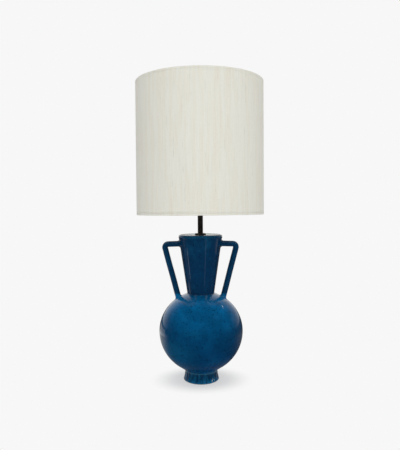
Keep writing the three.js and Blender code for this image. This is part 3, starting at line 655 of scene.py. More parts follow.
def plainMaterial(name, colour, second, roughness, **extra):
    look = {**plainLook, **extra}
    material, tree, shader = newMaterial(name, {"Roughness": roughness})
    grain = useGroup(tree, surfaceGrain, Scale=look["scale"], Contrast=look["contrast"])
    base = blendColour(tree, grain["Grain"], colour, second)
    if look["fleck"]:
        specks = useGroup(tree, scatteredSpecks, Scale=look["scale"] * look["fleckScale"], **look["flecks"])
        base = tinted(tree, base, look["fleck"], specks["Specks"], look["fleckShare"])
    dust = useGroup(tree, settledDust, Amount=look["dustAmount"])["Dust"]
    smoothest, roughest = roughness - look["spread"], roughness + look["spread"]
    feed(tree, shader.inputs, {
        "Base Color": blendColour(tree, dust, base, look["dust"]),
        "Roughness": reach(tree, grain["Grain"], 0.0, 1.0, smoothest, roughest),
    })
    height = plus(tree, grain["Grain"], times(tree, grain["Fine"], look["fineHeight"]))
    bumped(tree, shader, height, *look["bump"])
    return material


clothLook = {
    "pale": (0.762, 0.756, 0.682, 1),
    "grey": (0.715, 0.718, 0.660, 1),
    "beige": (0.710, 0.666, 0.540, 1),
    "slub": (0.300, 0.240, 0.170, 1),
    "paleStreaks": (0.38, 0.60), "warmAreas": (0.40, 0.66), "warmStreaks": (0.60, 0.42, 0.25, 1.0),
    "beigeShare": 0.6, "slubShare": 0.4, "threads": (-0.5, 0.5, 0.0, 0.06),
    "roughness": (0.3, 0.7, 0.82, 0.96), "bump": (0.35, 0.0004),
}


def clothMaterial():
    look = clothLook
    material, tree, shader = newMaterial("shadeCloth", {
        "Roughness": 0.9, "Specular IOR Level": 0.2, "Sheen Weight": 0.15, "Sheen Roughness": 0.5,
    })
    yarn = useGroup(tree, slubbyYarn, Yarns=1.0, Slubs=1.0)
    warm = reach(tree, yarn["Warmth"], *look["warmAreas"])
    warm = times(tree, warm, reach(tree, yarn["Streaks"], *look["warmStreaks"]))
    base = blendColour(tree, reach(tree, yarn["Streaks"], *look["paleStreaks"]), look["grey"], look["pale"])
    base = tinted(tree, base, look["beige"], warm, look["beigeShare"])
    base = tinted(tree, base, look["slub"], yarn["Dark Slubs"], look["slubShare"])
    shade = reach(tree, yarn["Threads"], *look["threads"], "LINEAR")
    feed(tree, shader.inputs, {
        "Base Color": blendColour(tree, shade, base, look["slub"]),
        "Roughness": reach(tree, yarn["Streaks"], *look["roughness"]),
    })
    bumped(tree, shader, yarn["Height"], *look["bump"])
    return material


glassLook = {
    "clear": (0.86, 0.85, 0.81, 1), "milky": (0.90, 0.89, 0.86, 1), "dust": (0.55, 0.53, 0.49, 1),
    "dustAmount": 0.25, "grain": {"Scale": 420.0, "Contrast": 0.4},
    "roughness": (0.28, 0.42), "bump": (0.12, 0.0001),
}


def glassMaterial():
    look = glassLook
    material, tree, shader = newMaterial("opalGlass", {
        "Roughness": 0.35, "Specular IOR Level": 0.5, "Coat Roughness": 0.1,
    })
    grain = useGroup(tree, surfaceGrain, **look["grain"])
    dust = useGroup(tree, settledDust, Amount=look["dustAmount"])["Dust"]
    base = blendColour(tree, grain["Grain"], look["clear"], look["milky"])
    feed(tree, shader.inputs, {
        "Base Color": blendColour(tree, dust, base, look["dust"]),
        "Roughness": reach(tree, grain["Grain"], 0.0, 1.0, *look["roughness"]),
    })
    bumped(tree, shader, grain["Fine"], *look["bump"])
    return material


# a metal's colour, duller patches, rubbed edges and roughness; a plain one's two colours and roughness
finish = {
    "glaze": glazeMaterial(),
    "shade_cloth": clothMaterial(),
    "opal_glass": glassMaterial(),
    "bronze": metalMaterial(
        "darkBronze", (0.016, 0.0135, 0.011, 1), (0.011, 0.0095, 0.008, 1), (0.12, 0.09, 0.06, 1), 0.4,
        rubShare=0.35, metallic=0.3, level=0.4,
    ),
    "brass": metalMaterial(
        "agedBrass", (0.55, 0.39, 0.15, 1), (0.36, 0.25, 0.10, 1), (0.80, 0.62, 0.30, 1), 0.3,
    ),
    "zinc": metalMaterial(
        "zincPlate", (0.56, 0.57, 0.58, 1), (0.40, 0.41, 0.42, 1), (0.75, 0.75, 0.76, 1), 0.36,
    ),
    "nickel": metalMaterial(
        "satinNickel", (0.74, 0.74, 0.72, 1), (0.64, 0.64, 0.62, 1), (0.80, 0.80, 0.78, 1), 0.32,
        lines=700.0, dustAmount=0.1,
    ),
    "black_plastic": plainMaterial(
        "blackPlastic", (0.012, 0.012, 0.012, 1), (0.022, 0.021, 0.020, 1), 0.38, scale=300.0,
    ),
    "paper": plainMaterial(
        "pressedBoard", (0.62, 0.56, 0.44, 1), (0.54, 0.48, 0.37, 1), 0.85,
        scale=220.0, fleck=(0.3, 0.24, 0.16, 1),
    ),
    "liner": plainMaterial(
        "whiteLiner", (0.86, 0.855, 0.82, 1), (0.82, 0.815, 0.78, 1), 0.5, scale=60.0, bump=(0.08, 0.0002),
    ),
    "felt": plainMaterial(
        "greenFelt", (0.022, 0.040, 0.028, 1), (0.040, 0.062, 0.045, 1), 0.95,
        spread=0.04, scale=500.0, bump=(0.8, 0.0006),
    ),
}
print("materials made:", len(finish))


vaseForm = {
    "footBottomRadius": 49.2, "footTopRadius": 44.9, "footEdge": 2.4, "flareShare": 0.6,
    "flutes": 26, "fluteDepth": 0.8, "archDrop": 4.5, "archRise": 4.0,
    "recessRadius": 37.2, "recessCeiling": 21.5, "recessEdge": 1.0,
    "footBottom": 1.5, "footTop": 28.0, "filletRise": 14.5,
    "globeRadius": 115.7, "globeLower": 114.7, "globeUpper": 109.0, "globeCentre": 138.2,
    "neckBottomRadius": 37.1, "neckTopRadius": 59.3, "neckBottom": 241.44, "neckTop": 394.64,
    "neckFillet": 2.6, "lipRadius": 60.4, "lipTop": 404.64, "lipEdge": 3.5, "wall": 6.0,
    "mouthRadius": 55.3, "mouthEdge": 0.8, "ledgeRadius": 52.4, "ledge": 401.34,
    "pipeHole": 5.3, "cavityFloor": 31.5, "unround": 0.0012, "segments": 234,
}


def vaseOutside():
    f = vaseForm
    globe, lower, upper, middle = f["globeRadius"], f["globeLower"], f["globeUpper"], f["globeCentre"]
    edgeTop = (f["footBottomRadius"], f["footBottom"] + f["footEdge"])
    corner = (f["footTopRadius"], f["footTop"])
    flare = (corner[0], edgeTop[1] + f["flareShare"] * (corner[1] - edgeTop[1]))
    angle = math.asin((f["footTop"] + f["filletRise"] - middle) / lower)
    filletEnd = (globe * math.cos(angle), middle + lower * math.sin(angle))
    slope = globe * math.tan(-angle) / lower
    filletPull = (corner[0], filletEnd[1] - (filletEnd[0] - corner[0]) / slope)
    neckAngle = math.acos((f["neckBottomRadius"] + f["neckFillet"] * 0.9) / globe)
    globeEnd = (globe * math.cos(neckAngle), middle + upper * math.sin(neckAngle))
    neckFoot = (f["neckBottomRadius"], f["neckBottom"])
    lean = (f["neckTopRadius"] - f["neckBottomRadius"]) / (f["neckTop"] - f["neckBottom"])
    neckStart = (f["neckBottomRadius"] + lean * f["neckFillet"], f["neckBottom"] + f["neckFillet"])
    neckEnd, lipLow = (f["neckTopRadius"], f["neckTop"] - 1.2), f["neckTop"]
    lipCentre = (f["lipRadius"] - f["lipEdge"], f["lipTop"] - f["lipEdge"])
    return (
        arc((edgeTop[0] - f["footEdge"], edgeTop[1]), f["footEdge"], f["footEdge"], -math.pi / 2, 0, 6)
        + curve(14, edgeTop, flare, corner)[1:]
        + curve(8, corner, filletPull, filletEnd)[1:]
        + arc((0, middle), globe, lower, angle, 0, 26)[1:]
        + arc((0, middle), globe, upper, 0, neckAngle, 26)[1:]
        + curve(7, globeEnd, neckFoot, neckStart)[1:]
        + curve(24, neckStart, neckEnd)[1:]
        + [(f["neckTopRadius"] + 0.1, lipLow - 0.4), (f["lipRadius"] - 0.25, lipLow + 0.6)]
        + [(f["lipRadius"], lipLow + 1.5), (f["lipRadius"] + 0.12, lipLow + 4.0)]
        + arc(lipCentre, f["lipEdge"], f["lipEdge"], 0, math.pi / 2, 8)
    )


def vaseInside():
    f = vaseForm
    radius, lower, upper = (f[k] - f["wall"] for k in ("globeRadius", "globeLower", "globeUpper"))
    neckAngle = math.acos((f["neckBottomRadius"] - f["wall"]) / radius)
    floorAngle = -math.asin((f["globeCentre"] - f["cavityFloor"]) / lower)
    centre = (0, f["globeCentre"])
    return (
        [(f["mouthRadius"] + f["mouthEdge"], f["lipTop"]), (f["mouthRadius"], f["lipTop"] - f["mouthEdge"])]
        + [(f["mouthRadius"], f["ledge"]), (f["ledgeRadius"], f["ledge"])]
        + arc(centre, radius, upper, neckAngle, 0, 12)
        + arc(centre, radius, lower, 0, floorAngle, 12)[1:]
        + [(f["pipeHole"], f["cavityFloor"]), (f["pipeHole"], f["recessCeiling"])]
        + [(f["recessRadius"] - f["recessEdge"], f["recessCeiling"])]
        + [(f["recessRadius"], f["recessCeiling"] - f["recessEdge"]), (f["recessRadius"], f["footBottom"])]
    )


def fluted(r, a, z):
    # flutes in the foot's side end in a small arch below the globe
    f = vaseForm
    if r <= f["recessRadius"] + 4 or z >= f["footTop"] + 4:
        # the thrown globe and neck aren't perfectly round
        swell = 1 + f["unround"] * math.sin(2 * a + 0.7) * ease(60, 120, z) * (r > 60)
        return r * swell, z
    groove = (1 - math.cos(f["flutes"] * a)) / 2
    top = f["footTop"] - f["archDrop"] + f["archRise"] * groove
    fade = ease(f["footBottom"] + 0.6, f["footBottom"] + 4, z) * (1 - ease(top - 2.2, top + 0.6, z))
    return r - f["fluteDepth"] * groove * fade, z


# the inlet through the back of the foot
inletForm = {
    "bore": 4.6, "boreStart": 34.0, "flangeRoom": 6.8, "flangeSeat": 42.9, "end": 56.0,
    "cordBore": 3.2, "barrel": 4.3, "flange": 6.5, "flangeThickness": 2.0,
}
inletHeight = (vaseForm["footBottom"] + vaseForm["recessCeiling"]) / 2

vaseBody = turned("vaseBody", vaseOutside() + vaseInside(), vaseForm["segments"], reshape=fluted)
for radius, start in (("bore", "boreStart"), ("flangeRoom", "flangeSeat")):
    room = rodRoom(inletForm[radius], inletForm[start], inletForm["end"], 32)
    cutAway(vaseBody, towardsBack(room, inletHeight), weighted=False)
finished(vaseBody, "ceramic_body", "glaze")
print("vase body:", len(vaseBody.data.polygons), "faces")


handleForm = {
    "radius": 8.0, "bend": 8.7, "fillet": 6.0, "reach": 100.66, "root": 62.1, "level": 379.14, "droop": 0.7,
    "sides": 48, "sunk": 0.25, "wobble": 0.25, "bendSteps": 16, "armSteps": 30, "armRows": (0.03, 0.88),
    # how far out the rows of the fillet lie
    "filletShares": (0.02, 0.06, 0.12, 0.2, 0.3, 0.42, 0.56, 0.72, 0.86, 1.0),
}


def bodyRadius(z):
    f = vaseForm
    if z < f["neckBottom"]:
        half = f["globeLower"] if z < f["globeCentre"] else f["globeUpper"]
        return f["globeRadius"] * math.sqrt(max(1 - ((z - f["globeCentre"]) / half) ** 2, 0))
    share = (z - f["neckBottom"]) / (f["neckTop"] - f["neckBottom"])
    return f["neckBottomRadius"] + share * (f["neckTopRadius"] - f["neckBottomRadius"])


def toSurface(point, ahead, far):
    # how far a line runs from a point to the vase's surface, found by halving
    low, high = 0.0, far
    for _ in range(30):
        middle = (low + high) / 2
        q = point + ahead * middle
        if math.hypot(q.x, q.y) > bodyRadius(q.z):
            low = middle
        else:
            high = middle
    return low


def handlePiece(side):
    f = handleForm
    corner = Vector((f["reach"], 0, f["level"] - f["droop"]))
    rootShare = math.sqrt(1 - (f["root"] / vaseForm["globeRadius"]) ** 2)
    root = Vector((f["root"], 0, vaseForm["globeCentre"] + vaseForm["globeUpper"] * rootShare))
    neck = Vector((bodyRadius(f["level"]) - 2, 0, f["level"] + f["droop"]))
    inward, down = (neck - corner).normalized(), (root - corner).normalized()
    half = inward.angle(down) / 2
    run = f["bend"] / math.tan(half)
    bendStart, bendEnd = corner + inward * run, corner + down * run
    middle = corner + (inward + down).normalized() * (f["bend"] / math.sin(half))
    depths = [-f["sunk"]] + [f["fillet"] * share for share in f["filletShares"]]

    def spokes(ahead):
        # directions square to the bar
        other = ahead.cross(sideways)
        return [sideways * math.cos(a) + other * math.sin(a) for a in around(f["sides"])]

    def spread(depth):
        back = f["fillet"] - max(depth, 0)
        return f["radius"] + f["fillet"] - math.sqrt(max(f["fillet"] ** 2 - back ** 2, 0))

    def endRows(start, ahead, far):
        # the fillet's rows grow out towards the body
        rows = []
        for depth in depths:
            origins = [start + spoke * spread(depth) for spoke in spokes(ahead)]
            rows.append([p + ahead * (toSurface(p, ahead, far) - depth) for p in origins])
        return rows

    def roundRow(centre, ahead):
        return [centre + spoke * f["radius"] for spoke in spokes(ahead)]

    # from the neck outwards; the first rows are turned over, so that all run the same way round
    rows = [[row[-k] for k in range(f["sides"])] for row in endRows(bendStart, inward, 60)]
    rows += [roundRow(bendStart + inward * run * t, -inward) for t in (0.3, 0.12)]
    for k in range(f["bendSteps"] + 1):
        turn = Matrix.Rotation((math.pi - 2 * half) * k / f["bendSteps"], 3, "Y")
        rows.append(roundRow(middle + turn @ (bendStart - middle), turn @ -inward))
    armLength = (root - bendEnd).length
    armFirst, armLast = f["armRows"]
    for k in range(f["armSteps"] + 1):
        t = armFirst + (armLast - armFirst) * k / f["armSteps"]
        wobble = f["wobble"] * math.sin(9 * t + side)
        rows.append(roundRow(bendEnd + down * armLength * t + Vector((wobble * 0.6, wobble, 0)), down))
    rows += reversed(endRows(bendEnd, down, armLength + 30))
    if side < 0:
        rows = [[Vector((-p.x, -p.y, p.z)) for p in row] for row in rows]
    tips = [sum(row, Vector()) / f["sides"] for row in (rows[0], rows[-1])]
    return skinned("handleRight" if side > 0 else "handleLeft", rows, tips)


for side, node in ((-1, "handle_left"), (1, "handle_right")):
    finished(handlePiece(side), node, "glaze")
print("handles made")


mouthForm = {
    "bore": 5.3, "capRim": 0.9, "grooves": [(30, 0.25), (47, 0.35)], "plateDrop": 0.3, "bossRadius": 17.2,
    "collarStep": 1.5, "collarRing": 9.6, "collarTop": 8.7, "stemWall": 1.2, "stemSegments": 64,
}


def vaseCap():
    f = mouthForm
    bottom, top, radius = span("vase_cap")
    plate = top - f["plateDrop"]
    upper = [(radius, top - 0.2, 0.5), (radius - 2.2, top, 0.6), (radius - 3.4, top - 0.35, 0.4)]
    for at, depth in reversed(f["grooves"]):
        upper += [(at + 1.2, plate, 0.3), (at, plate - depth, 0.4), (at - 1.2, plate, 0.3)]
    upper += [(f["bossRadius"] + 1.3, plate, 0.5), (f["bossRadius"], top, 0.5)]
    outline = [(f["bore"], bottom), (radius, bottom, f["capRim"])] + upper + [(f["bore"], top)]
    return turned("mouthDisc", rounded(outline), ringSides, weighted=True)


def neckCollar():
    f = mouthForm
    bottom, top, radius = span("neck_collar")
    outline = [
        (f["bore"], bottom), (radius, bottom, 0.4), (radius, top - f["collarStep"], 0.9),
        (radius - 1.1, top - 0.7, 0.5), (f["collarRing"], top - 0.5, 0.4), (f["collarTop"], top, 0.4),
        (f["bore"], top),
    ]
    return turned("stemCollar", rounded(outline), ringSides, weighted=True)


def stemTube():
    bottom, top, radius = span("stem_tube")
    bore = radius - mouthForm["stemWall"]
    outline = [
        (bore, bottom), (radius, bottom, 0.4), (radius, bottom + 1.5), (radius - 0.02, (bottom + top) / 2),
        (radius, top - 1.5), (radius, top, 0.4), (bore, top),
    ]
    return turned("stem", rounded(outline), mouthForm["stemSegments"], weighted=True)


finished(vaseCap(), "vase_cap", "nickel")
finished(neckCollar(), "neck_collar", "bronze")
finished(stemTube(), "stem_tube", "bronze")
print("mouth disc, collar and stem made")


shadeForm = {
    "radius": 174.55, "thickness": 0.7, "around": 720, "rows": 32,
    "overlap": 12.0, "lap": 0.35, "lapSlope": 6.0, "slubRise": 0.14, "turning": 4.0,
    # how fine the cloth's unevenness is round the shade and up it
    "streaks": (60, 0.012), "slubs": (115, 0.03, 9), "ripples": (50, 0.1),
    "hemRise": 0.12, "hemHeight": 4.6, "hemInner": 166.7, "hemInside": 5.0, "hemCloth": 0.7,
    "hemRipple": 0.10, "lining": 1.0, "liningLap": 0.35, "weld": 0.12, "weldAt": 0.4,
}


def shadeFabric():
    f = shadeForm
    bottom, top = span("shade_fabric")[:2]
    columns, rows = f["around"], f["rows"]
    length = 2 * math.pi * f["radius"] + f["overlap"]
    points, faces = [], []

    def column(k):
        # angle and lift of a column; the last stretch lies over the first at the back seam
        along = length * k / columns
        over = ease(length - f["overlap"] - f["lapSlope"], length - f["overlap"], along)
        return math.pi / 2 + (0.5 * f["overlap"] - along) / f["radius"], f["lap"] * (over - 0.5) * 0.5

    for row in range(rows + 1):
        z = bottom + (top - bottom) * row / rows
        for k in range(columns + 1):
            a, lift = column(k)
            slub = max(waviness(a, z, *f["slubs"]) - 0.35, 0)
            rise = f["slubRise"] * (0.6 * waviness(a, z, *f["streaks"]) + slub * 1.6)
            r = f["radius"] + lift + rise * ease(0, 3, min(row, rows - row))
            points.append((r * math.cos(a), r * math.sin(a), z))
    inner = len(points)
    for z in (bottom, top):
        for k in range(columns + 1):
            a, lift = column(k)
            r = f["radius"] - f["thickness"] + lift
            points.append((r * math.cos(a), r * math.sin(a), z))
    wide = columns + 1
    for row in range(rows):
        for k in range(row * wide, row * wide + columns):
            faces.append([k + 1, k, k + wide, k + wide + 1])
    topRow = rows * wide
    for k in range(columns):
        faces.append([inner + k, inner + k + 1, inner + wide + k + 1, inner + wide + k])
        faces.append([k, k + 1, inner + k + 1, inner + k])
        faces.append([topRow + k + 1, topRow + k, inner + wide + k, inner + wide + k + 1])
    for k in (0, columns):
        edge = [row * wide + k for row in range(rows + 1)] + [inner + wide + k, inner + k]
        faces.append(edge if k == 0 else edge[::-1])
    piece = meshPiece("shadeCloth", points, faces)
    for face in piece.data.polygons[-2:]:
        face.use_smooth = False
    return piece, length


def shadeHem(name, node, upper):
    # the cloth turned over the wire ring, with a soft rolled edge
    f = shadeForm
    bottom, top = span(node)[:2]
    edge, into = (top, -1) if upper else (bottom, 1)
    outer, inner, cloth = f["radius"] + f["hemRise"], f["hemInner"], f["hemCloth"]
    # radius, how far from the edge, rounding
    corners = [
        (outer - 0.8, f["hemHeight"]), (outer - 0.15, f["hemHeight"] - 0.25, 0.2),
        (outer, f["hemHeight"] - 2.6), (outer + 0.05, 1.6), (outer, 0.02, 1.3),
        (inner + 4, 0, 0.8), (inner, 0.3, 2.0), (inner, f["hemInside"], 0.3), (inner + cloth, f["hemInside"]),
        (inner + cloth, 1.6), (inner + 2.5, 0.9), (outer - 1.6, 0.9), (outer - 0.8, 1.6),
    ]
    outline = rounded([(r, edge + into * away, *soft) for r, away, *soft in corners], 5)

    def uneven(r, a, z):
        return r + f["hemRipple"] * waviness(a, z, *f["ripples"]) * (r > f["radius"] - 2.5), z
    return turned(name, outline[::-1] if upper else outline, 288, reshape=uneven)


def awayFrom(a, centre, radius):
    # distance round a circle, from the place at the angle centre
    return abs(math.remainder(a - centre, 2 * math.pi)) * radius


def shadeLiner():
    f = shadeForm
    bottom, top, radius = span("shade_liner")
    inner = radius - f["lining"]

    def lapped(r, a, z):
        # the lining laps over itself at the back
        away = awayFrom(a, math.pi / 2, r)
        return r - (f["liningLap"] * (1 - ease(3, 4.5, away)) if r < radius - 0.5 else 0), z
    outline = [(inner, bottom), (radius, bottom)] + rowsUp(inner, top, bottom, 6)[:-1]
    outline.insert(2, (radius, top))
    return turned("shadeLining", outline, 384, reshape=lapped, weighted=True)


def wireRing(name, node):
    bottom, top, radius = span(node)
    wire, level = (top - bottom) / 2, (bottom + top) / 2
    middle = radius - wire

    def welded(r, a, z):
        # a small weld swells the wire where it was joined
        away = awayFrom(a, -math.pi / 2 - shadeForm["weldAt"], middle)
        swell = 1 + shadeForm["weld"] * (1 - ease(1.0, 3.0, away))
        return middle + (r - middle) * swell, level + (z - level) * swell
    return turned(name, arc((middle, level), wire, wire, 0, 2 * math.pi, 12)[:-1], 240, reshape=welded)


cloth, clothLength = shadeFabric()
finished(cloth, "shade_fabric", "shade_cloth")
hemTop = finished(shadeHem("hemTop", "shade_trim_top", True), "shade_trim_top", "shade_cloth")
hemBottom = finished(shadeHem("hemBottom", "shade_trim_bottom", False), "shade_trim_bottom", "shade_cloth")
finished(shadeLiner(), "shade_liner", "liner")
for name, node in (("ringTop", "shade_top_ring"), ("ringBottom", "shade_bottom_ring")):
    finished(wireRing(name, node), node, "bronze")
print("shade made, cloth", round(clothLength), "mm long")


feltForm = {
    "radius": 45.2, "fuzz": 0.35, "edge": 0.3, "rings": 14,
    "tufts": (60, 2), "dimple": 0.04, "dimpleScale": 0.35,
}


def footFelt():
    # a punched felt disc with a slightly furry edge
    f = feltForm
    bottom, top = span("foot_felt")[:2]
    middle, half = (bottom + top) / 2, (top - bottom) / 2
    radius = f["radius"] - f["fuzz"]
    rings = [radius * k / f["rings"] for k in range(1, f["rings"])]
    outline = [(0, bottom)] + [(r, bottom) for r in rings]
    outline += arc((radius, middle), f["edge"], half, -math.pi / 2, math.pi / 2, 6)
    outline += [(r, top) for r in reversed(rings)] + [(0, top)]

    def furry(r, a, z):
        fuzz = f["fuzz"] * waviness(a, z, *f["tufts"])
        dip = 1 + waviness(a, 5, r * f["dimpleScale"], 1)
        inwards = -f["dimple"] if z > middle else f["dimple"]
        return r + fuzz * (r > radius - 1), z + inwards * dip * (r < radius - 1)
    return turned("feltPad", outline, 160, closed=False, reshape=furry)


felt = finished(footFelt(), "foot_felt", "felt")


undersideForm = {
    "pipeBore": 3.6, "hole": 5.3, "threadPitch": 0.94, "threadDepth": 0.35, "threadLength": 8.5,
    "nutFlats": 17.0, "nutChamfer": 1.1, "nutHole": 5.9, "washerSplit": 1.2, "washerEdge": 0.35,
    "splitEdge": 0.15, "splitRise": 0.09,
}


def cordBushing():
    f = inletForm
    low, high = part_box("cord_bushing")
    start, front = low.y / mm, high.y / mm
    seat, bore = front - f["flangeThickness"], f["cordBore"]
    outline = rounded([
        (bore, start, 0.3), (f["barrel"], start, 0.4), (f["barrel"], seat), (f["flange"], seat, 0.3),
        (f["flange"], front, 0.9), (bore + 1.2, front, 0.3), (bore, front - 1.2, 0.4),
    ])
    return towardsBack(turned("inletBushing", outline, 48, weighted=True), inletHeight)


def clampWasher():
    bottom, top, radius = span("base_washer")
    outline = softRing(undersideForm["hole"], radius, bottom, top, undersideForm["washerEdge"])
    return turned("clampWasher", outline, ringSides, weighted=True)


def lockWasher():
    # a split ring whose ends stand slightly apart
    f = undersideForm
    bottom, top, radius = span("base_lock_washer")
    section = softRing(f["hole"], radius, bottom + 0.05, top - f["splitEdge"], f["splitEdge"], 2)
    gap = f["washerSplit"] / radius / 2
    steps = 60
    rows = []
    for k in range(steps + 1):
        a = gap + (2 * math.pi - 2 * gap) * k / steps
        lift = f["splitRise"] * (k / steps - 0.5)
        rows.append([(r * math.cos(a), r * math.sin(a), z + lift) for r, z in section])
    return skinned("lockWasher", rows)


def hexNut():
    f = undersideForm
    bottom, top = span("base_nut")[:2]
    flat, chamfer = f["nutFlats"] / 2, f["nutChamfer"]
    corner = flat / math.cos(math.pi / 6)
    outline = [(f["nutHole"], bottom), (flat - 0.3, bottom)]
    outline += rowsUp(corner, bottom + chamfer, top - chamfer, 4)
    outline += [(flat - 0.3, top), (f["nutHole"], top), (f["hole"], top - 0.5), (f["hole"], bottom + 0.5)]

    def hexagonal(r, a, z):
        side = flat / math.cos(math.remainder(a, math.pi / 3))
        return (min(r, side) if r > flat - 1 else r), z
    return turned("hexNut", outline, 144, reshape=hexagonal, weighted=True)


def leadPipe():
    # threaded where it shows, below the nut and above the saddle
    f = undersideForm
    bottom, top, radius = span("threaded_pipe")
    length = f["threadLength"]
    outer = rowsUp(radius, bottom + 0.3, bottom + length + 0.5, 37)
    outer += rowsUp(radius, top - length - 0.5, top - 0.3, 37)
    outline = [(f["pipeBore"], bottom), (radius - 0.4, bottom)] + outer
    outline += [(radius - 0.4, top), (f["pipeBore"], top)]
    low = threaded(f["threadDepth"], f["threadPitch"], bottom, bottom + length, radius - 0.1)
    high = threaded(f["threadDepth"], f["threadPitch"], top - length, top, radius - 0.1)

    def bothEnds(r, a, z):
        return low(r, a, z) if z < (bottom + top) / 2 else high(r, a, z)
    return turned("leadPipe", outline, rodSides, reshape=bothEnds)


for made, node, slot in (
    (clampWasher(), "base_washer", "zinc"),
    (cordBushing(), "cord_bushing", "black_plastic"),
    (lockWasher(), "base_lock_washer", "zinc"),
    (hexNut(), "base_nut", "zinc"),
    (leadPipe(), "threaded_pipe", "zinc"),
):
    finished(made, node, slot)
print("underside made")


harpForm = {
    "saddleRadius": 9.0, "saddleThickness": 2.0, "earSpread": 27.5, "earThickness": 1.5, "earWidth": 6.0,
    "bend": 2.2, "strapEdge": 0.35, "wire": 1.7, "leg": 28.55, "blade": 19.0, "bladeWide": 6.0,
    "bladeThick": 1.5, "straight": 38.0, "belly": 57.0, "bellyRise": 120.0, "legPull": 30.0,
    "bellyPull": 80.0, "topFlat": 10.0, "topPull": 26.0, "eyelet": 0.35,
    "studBase": 6.0, "studBaseHeight": 1.6, "stud": 3.1, "studThread": 0.28,
    "ferruleAt": 27.65, "bore": 3.73, "ferruleWall": 1.0, "ferruleBead": 1.4, "ferruleWaist": 0.35,
}


def harpSaddle():
    # one bent strap: ear, bend, plate round the pipe, bend, ear
    f = harpForm
    low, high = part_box("harp_saddle")
    top = high.z / mm
    half, flatHalf, edge = f["earThickness"] / 2, f["saddleThickness"] / 2, f["strapEdge"]
    spread, floor = f["earSpread"] - half, low.z / mm + flatHalf
    bendEnd = spread - f["bend"]
    side = rowsUp(spread, top, floor + 3, 8)
    side += curve(6, (spread, floor + f["bend"]), (spread, floor), (bendEnd, floor))
    side += [(bendEnd - bendEnd * k / 14, floor) for k in range(1, 15)]
    path = [(-x, z) for x, z in side] + [(x, z) for x, z in reversed(side[:-1])]
    rows = []
    for i, (x, z) in enumerate(path):
        before, after = path[max(i - 1, 0)], path[min(i + 1, len(path) - 1)]
        ahead = Vector((after[0] - before[0], 0, after[1] - before[1])).normalized()
        up = Vector((-ahead.z, 0, ahead.x))
        flatShare = ease(floor + 3, floor, z)
        thick = half + (flatHalf - half) * flatShare
        bulge = (f["saddleRadius"] - f["earWidth"] / 2) * (1 - ease(0, f["earSpread"] - 3, abs(x))) ** 1.3
        wide = f["earWidth"] / 2 + bulge * flatShare - 1.2 * ease(top - 1.2, top, z)
        # the strap's section, with its four corners cut
        quarter = [(wide, 0.6 * thick), (wide - edge, thick)]
        section = [(-y, -h) for y, h in quarter] + [(y, -h) for y, h in reversed(quarter)]
        section += quarter + [(-y, h) for y, h in reversed(quarter)]
        rows.append([Vector((x, y, z)) + up * h for y, h in section])
    return weightNormals(skinned("harpSaddle", rows))


def harpBow():
    # round wire whose two ends are flattened into blades
    f = harpForm
    low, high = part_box("harp_bow")
    bottom, top = low.z / mm, high.z / mm - f["wire"]
    flare, belly = (f["leg"], bottom + f["straight"]), (f["belly"], bottom + f["bellyRise"])
    half = rowsUp(f["leg"], bottom, flare[1], 26)
    pulls = (f["leg"], flare[1] + f["legPull"]), (f["belly"], belly[1] - f["legPull"])
    half += curve(22, flare, *pulls, belly)[1:]
    bellyTop, topStart = (f["belly"], belly[1] + f["bellyPull"]), (f["topFlat"] + f["topPull"], top)
    half += curve(34, belly, bellyTop, topStart, (f["topFlat"], top))[1:]
    half += [(f["topFlat"] * (1 - k / 4), top) for k in range(1, 5)]
    path = [(-x, 0, z) for x, z in half] + [(x, 0, z) for x, z in reversed(half[:-1])]
    wideBlade, thinBlade = (f[k] / 2 / f["wire"] - 1 for k in ("bladeWide", "bladeThick"))

    def flattened(share):
        z = path[round(share * (len(path) - 1))][2]
        blade = 1 - ease(bottom + f["blade"] - 3, bottom + f["blade"] + 2, z)
        eyelet = f["eyelet"] * ease(top - 0.5, top, z)
        return 1 + wideBlade * blade + eyelet, 1 + thinBlade * blade
    return swept("harpBow", path, f["wire"], 16, squash=flattened)


def harpStud():
    f = harpForm
    bottom, top = span("harp_stud")[:2]
    seat = bottom + f["studBaseHeight"]
    base = rounded([(f["studBase"], bottom, 0.4), (f["studBase"], seat, 0.4), (f["stud"], seat)])
    outline = [(0, bottom)] + base[:-1] + rowsUp(f["stud"], seat, top - 0.4, 44)
    outline += [(f["stud"] - 0.5, top), (0, top)]
    thread = threaded(f["studThread"], undersideForm["threadPitch"], bottom + 2, top, f["stud"] - 0.1)

    def aboveBase(r, a, z):
        return thread(r, a, z) if r < f["stud"] + 0.1 else (r, z)
    return turned("shadeStud", outline, rodSides, closed=False, reshape=aboveBase)


def ferrule(name, node, side):
    f = harpForm
    bottom, top = span(node)[:2]
    outer, bead = f["bore"] + f["ferruleWall"], f["ferruleBead"]
    waist = outer - f["ferruleWaist"]
    outline = rounded([
        (f["bore"], bottom, 0.3), (outer, bottom, 0.6), (outer, bottom + bead, 0.4),
        (waist, bottom + bead + 0.4, 0.3), (waist, top - bead - 0.4, 0.3), (outer, top - bead, 0.4),
        (outer, top, 0.6), (f["bore"], top, 0.3),
    ])
    return turnAlong(turned(name, outline, 48, weighted=True), offset=(side * f["ferruleAt"], 0, 0))


finished(harpSaddle(), "harp_saddle", "bronze")
finished(harpBow(), "harp_bow", "bronze")
finished(harpStud(), "harp_stud", "zinc")
for name, node, side in (("ferruleLeft", "harp_ferrule_left", -1), ("ferruleRight", "harp_ferrule_right", 1)):
    finished(ferrule(name, node, side), node, "brass")
print("harp made")


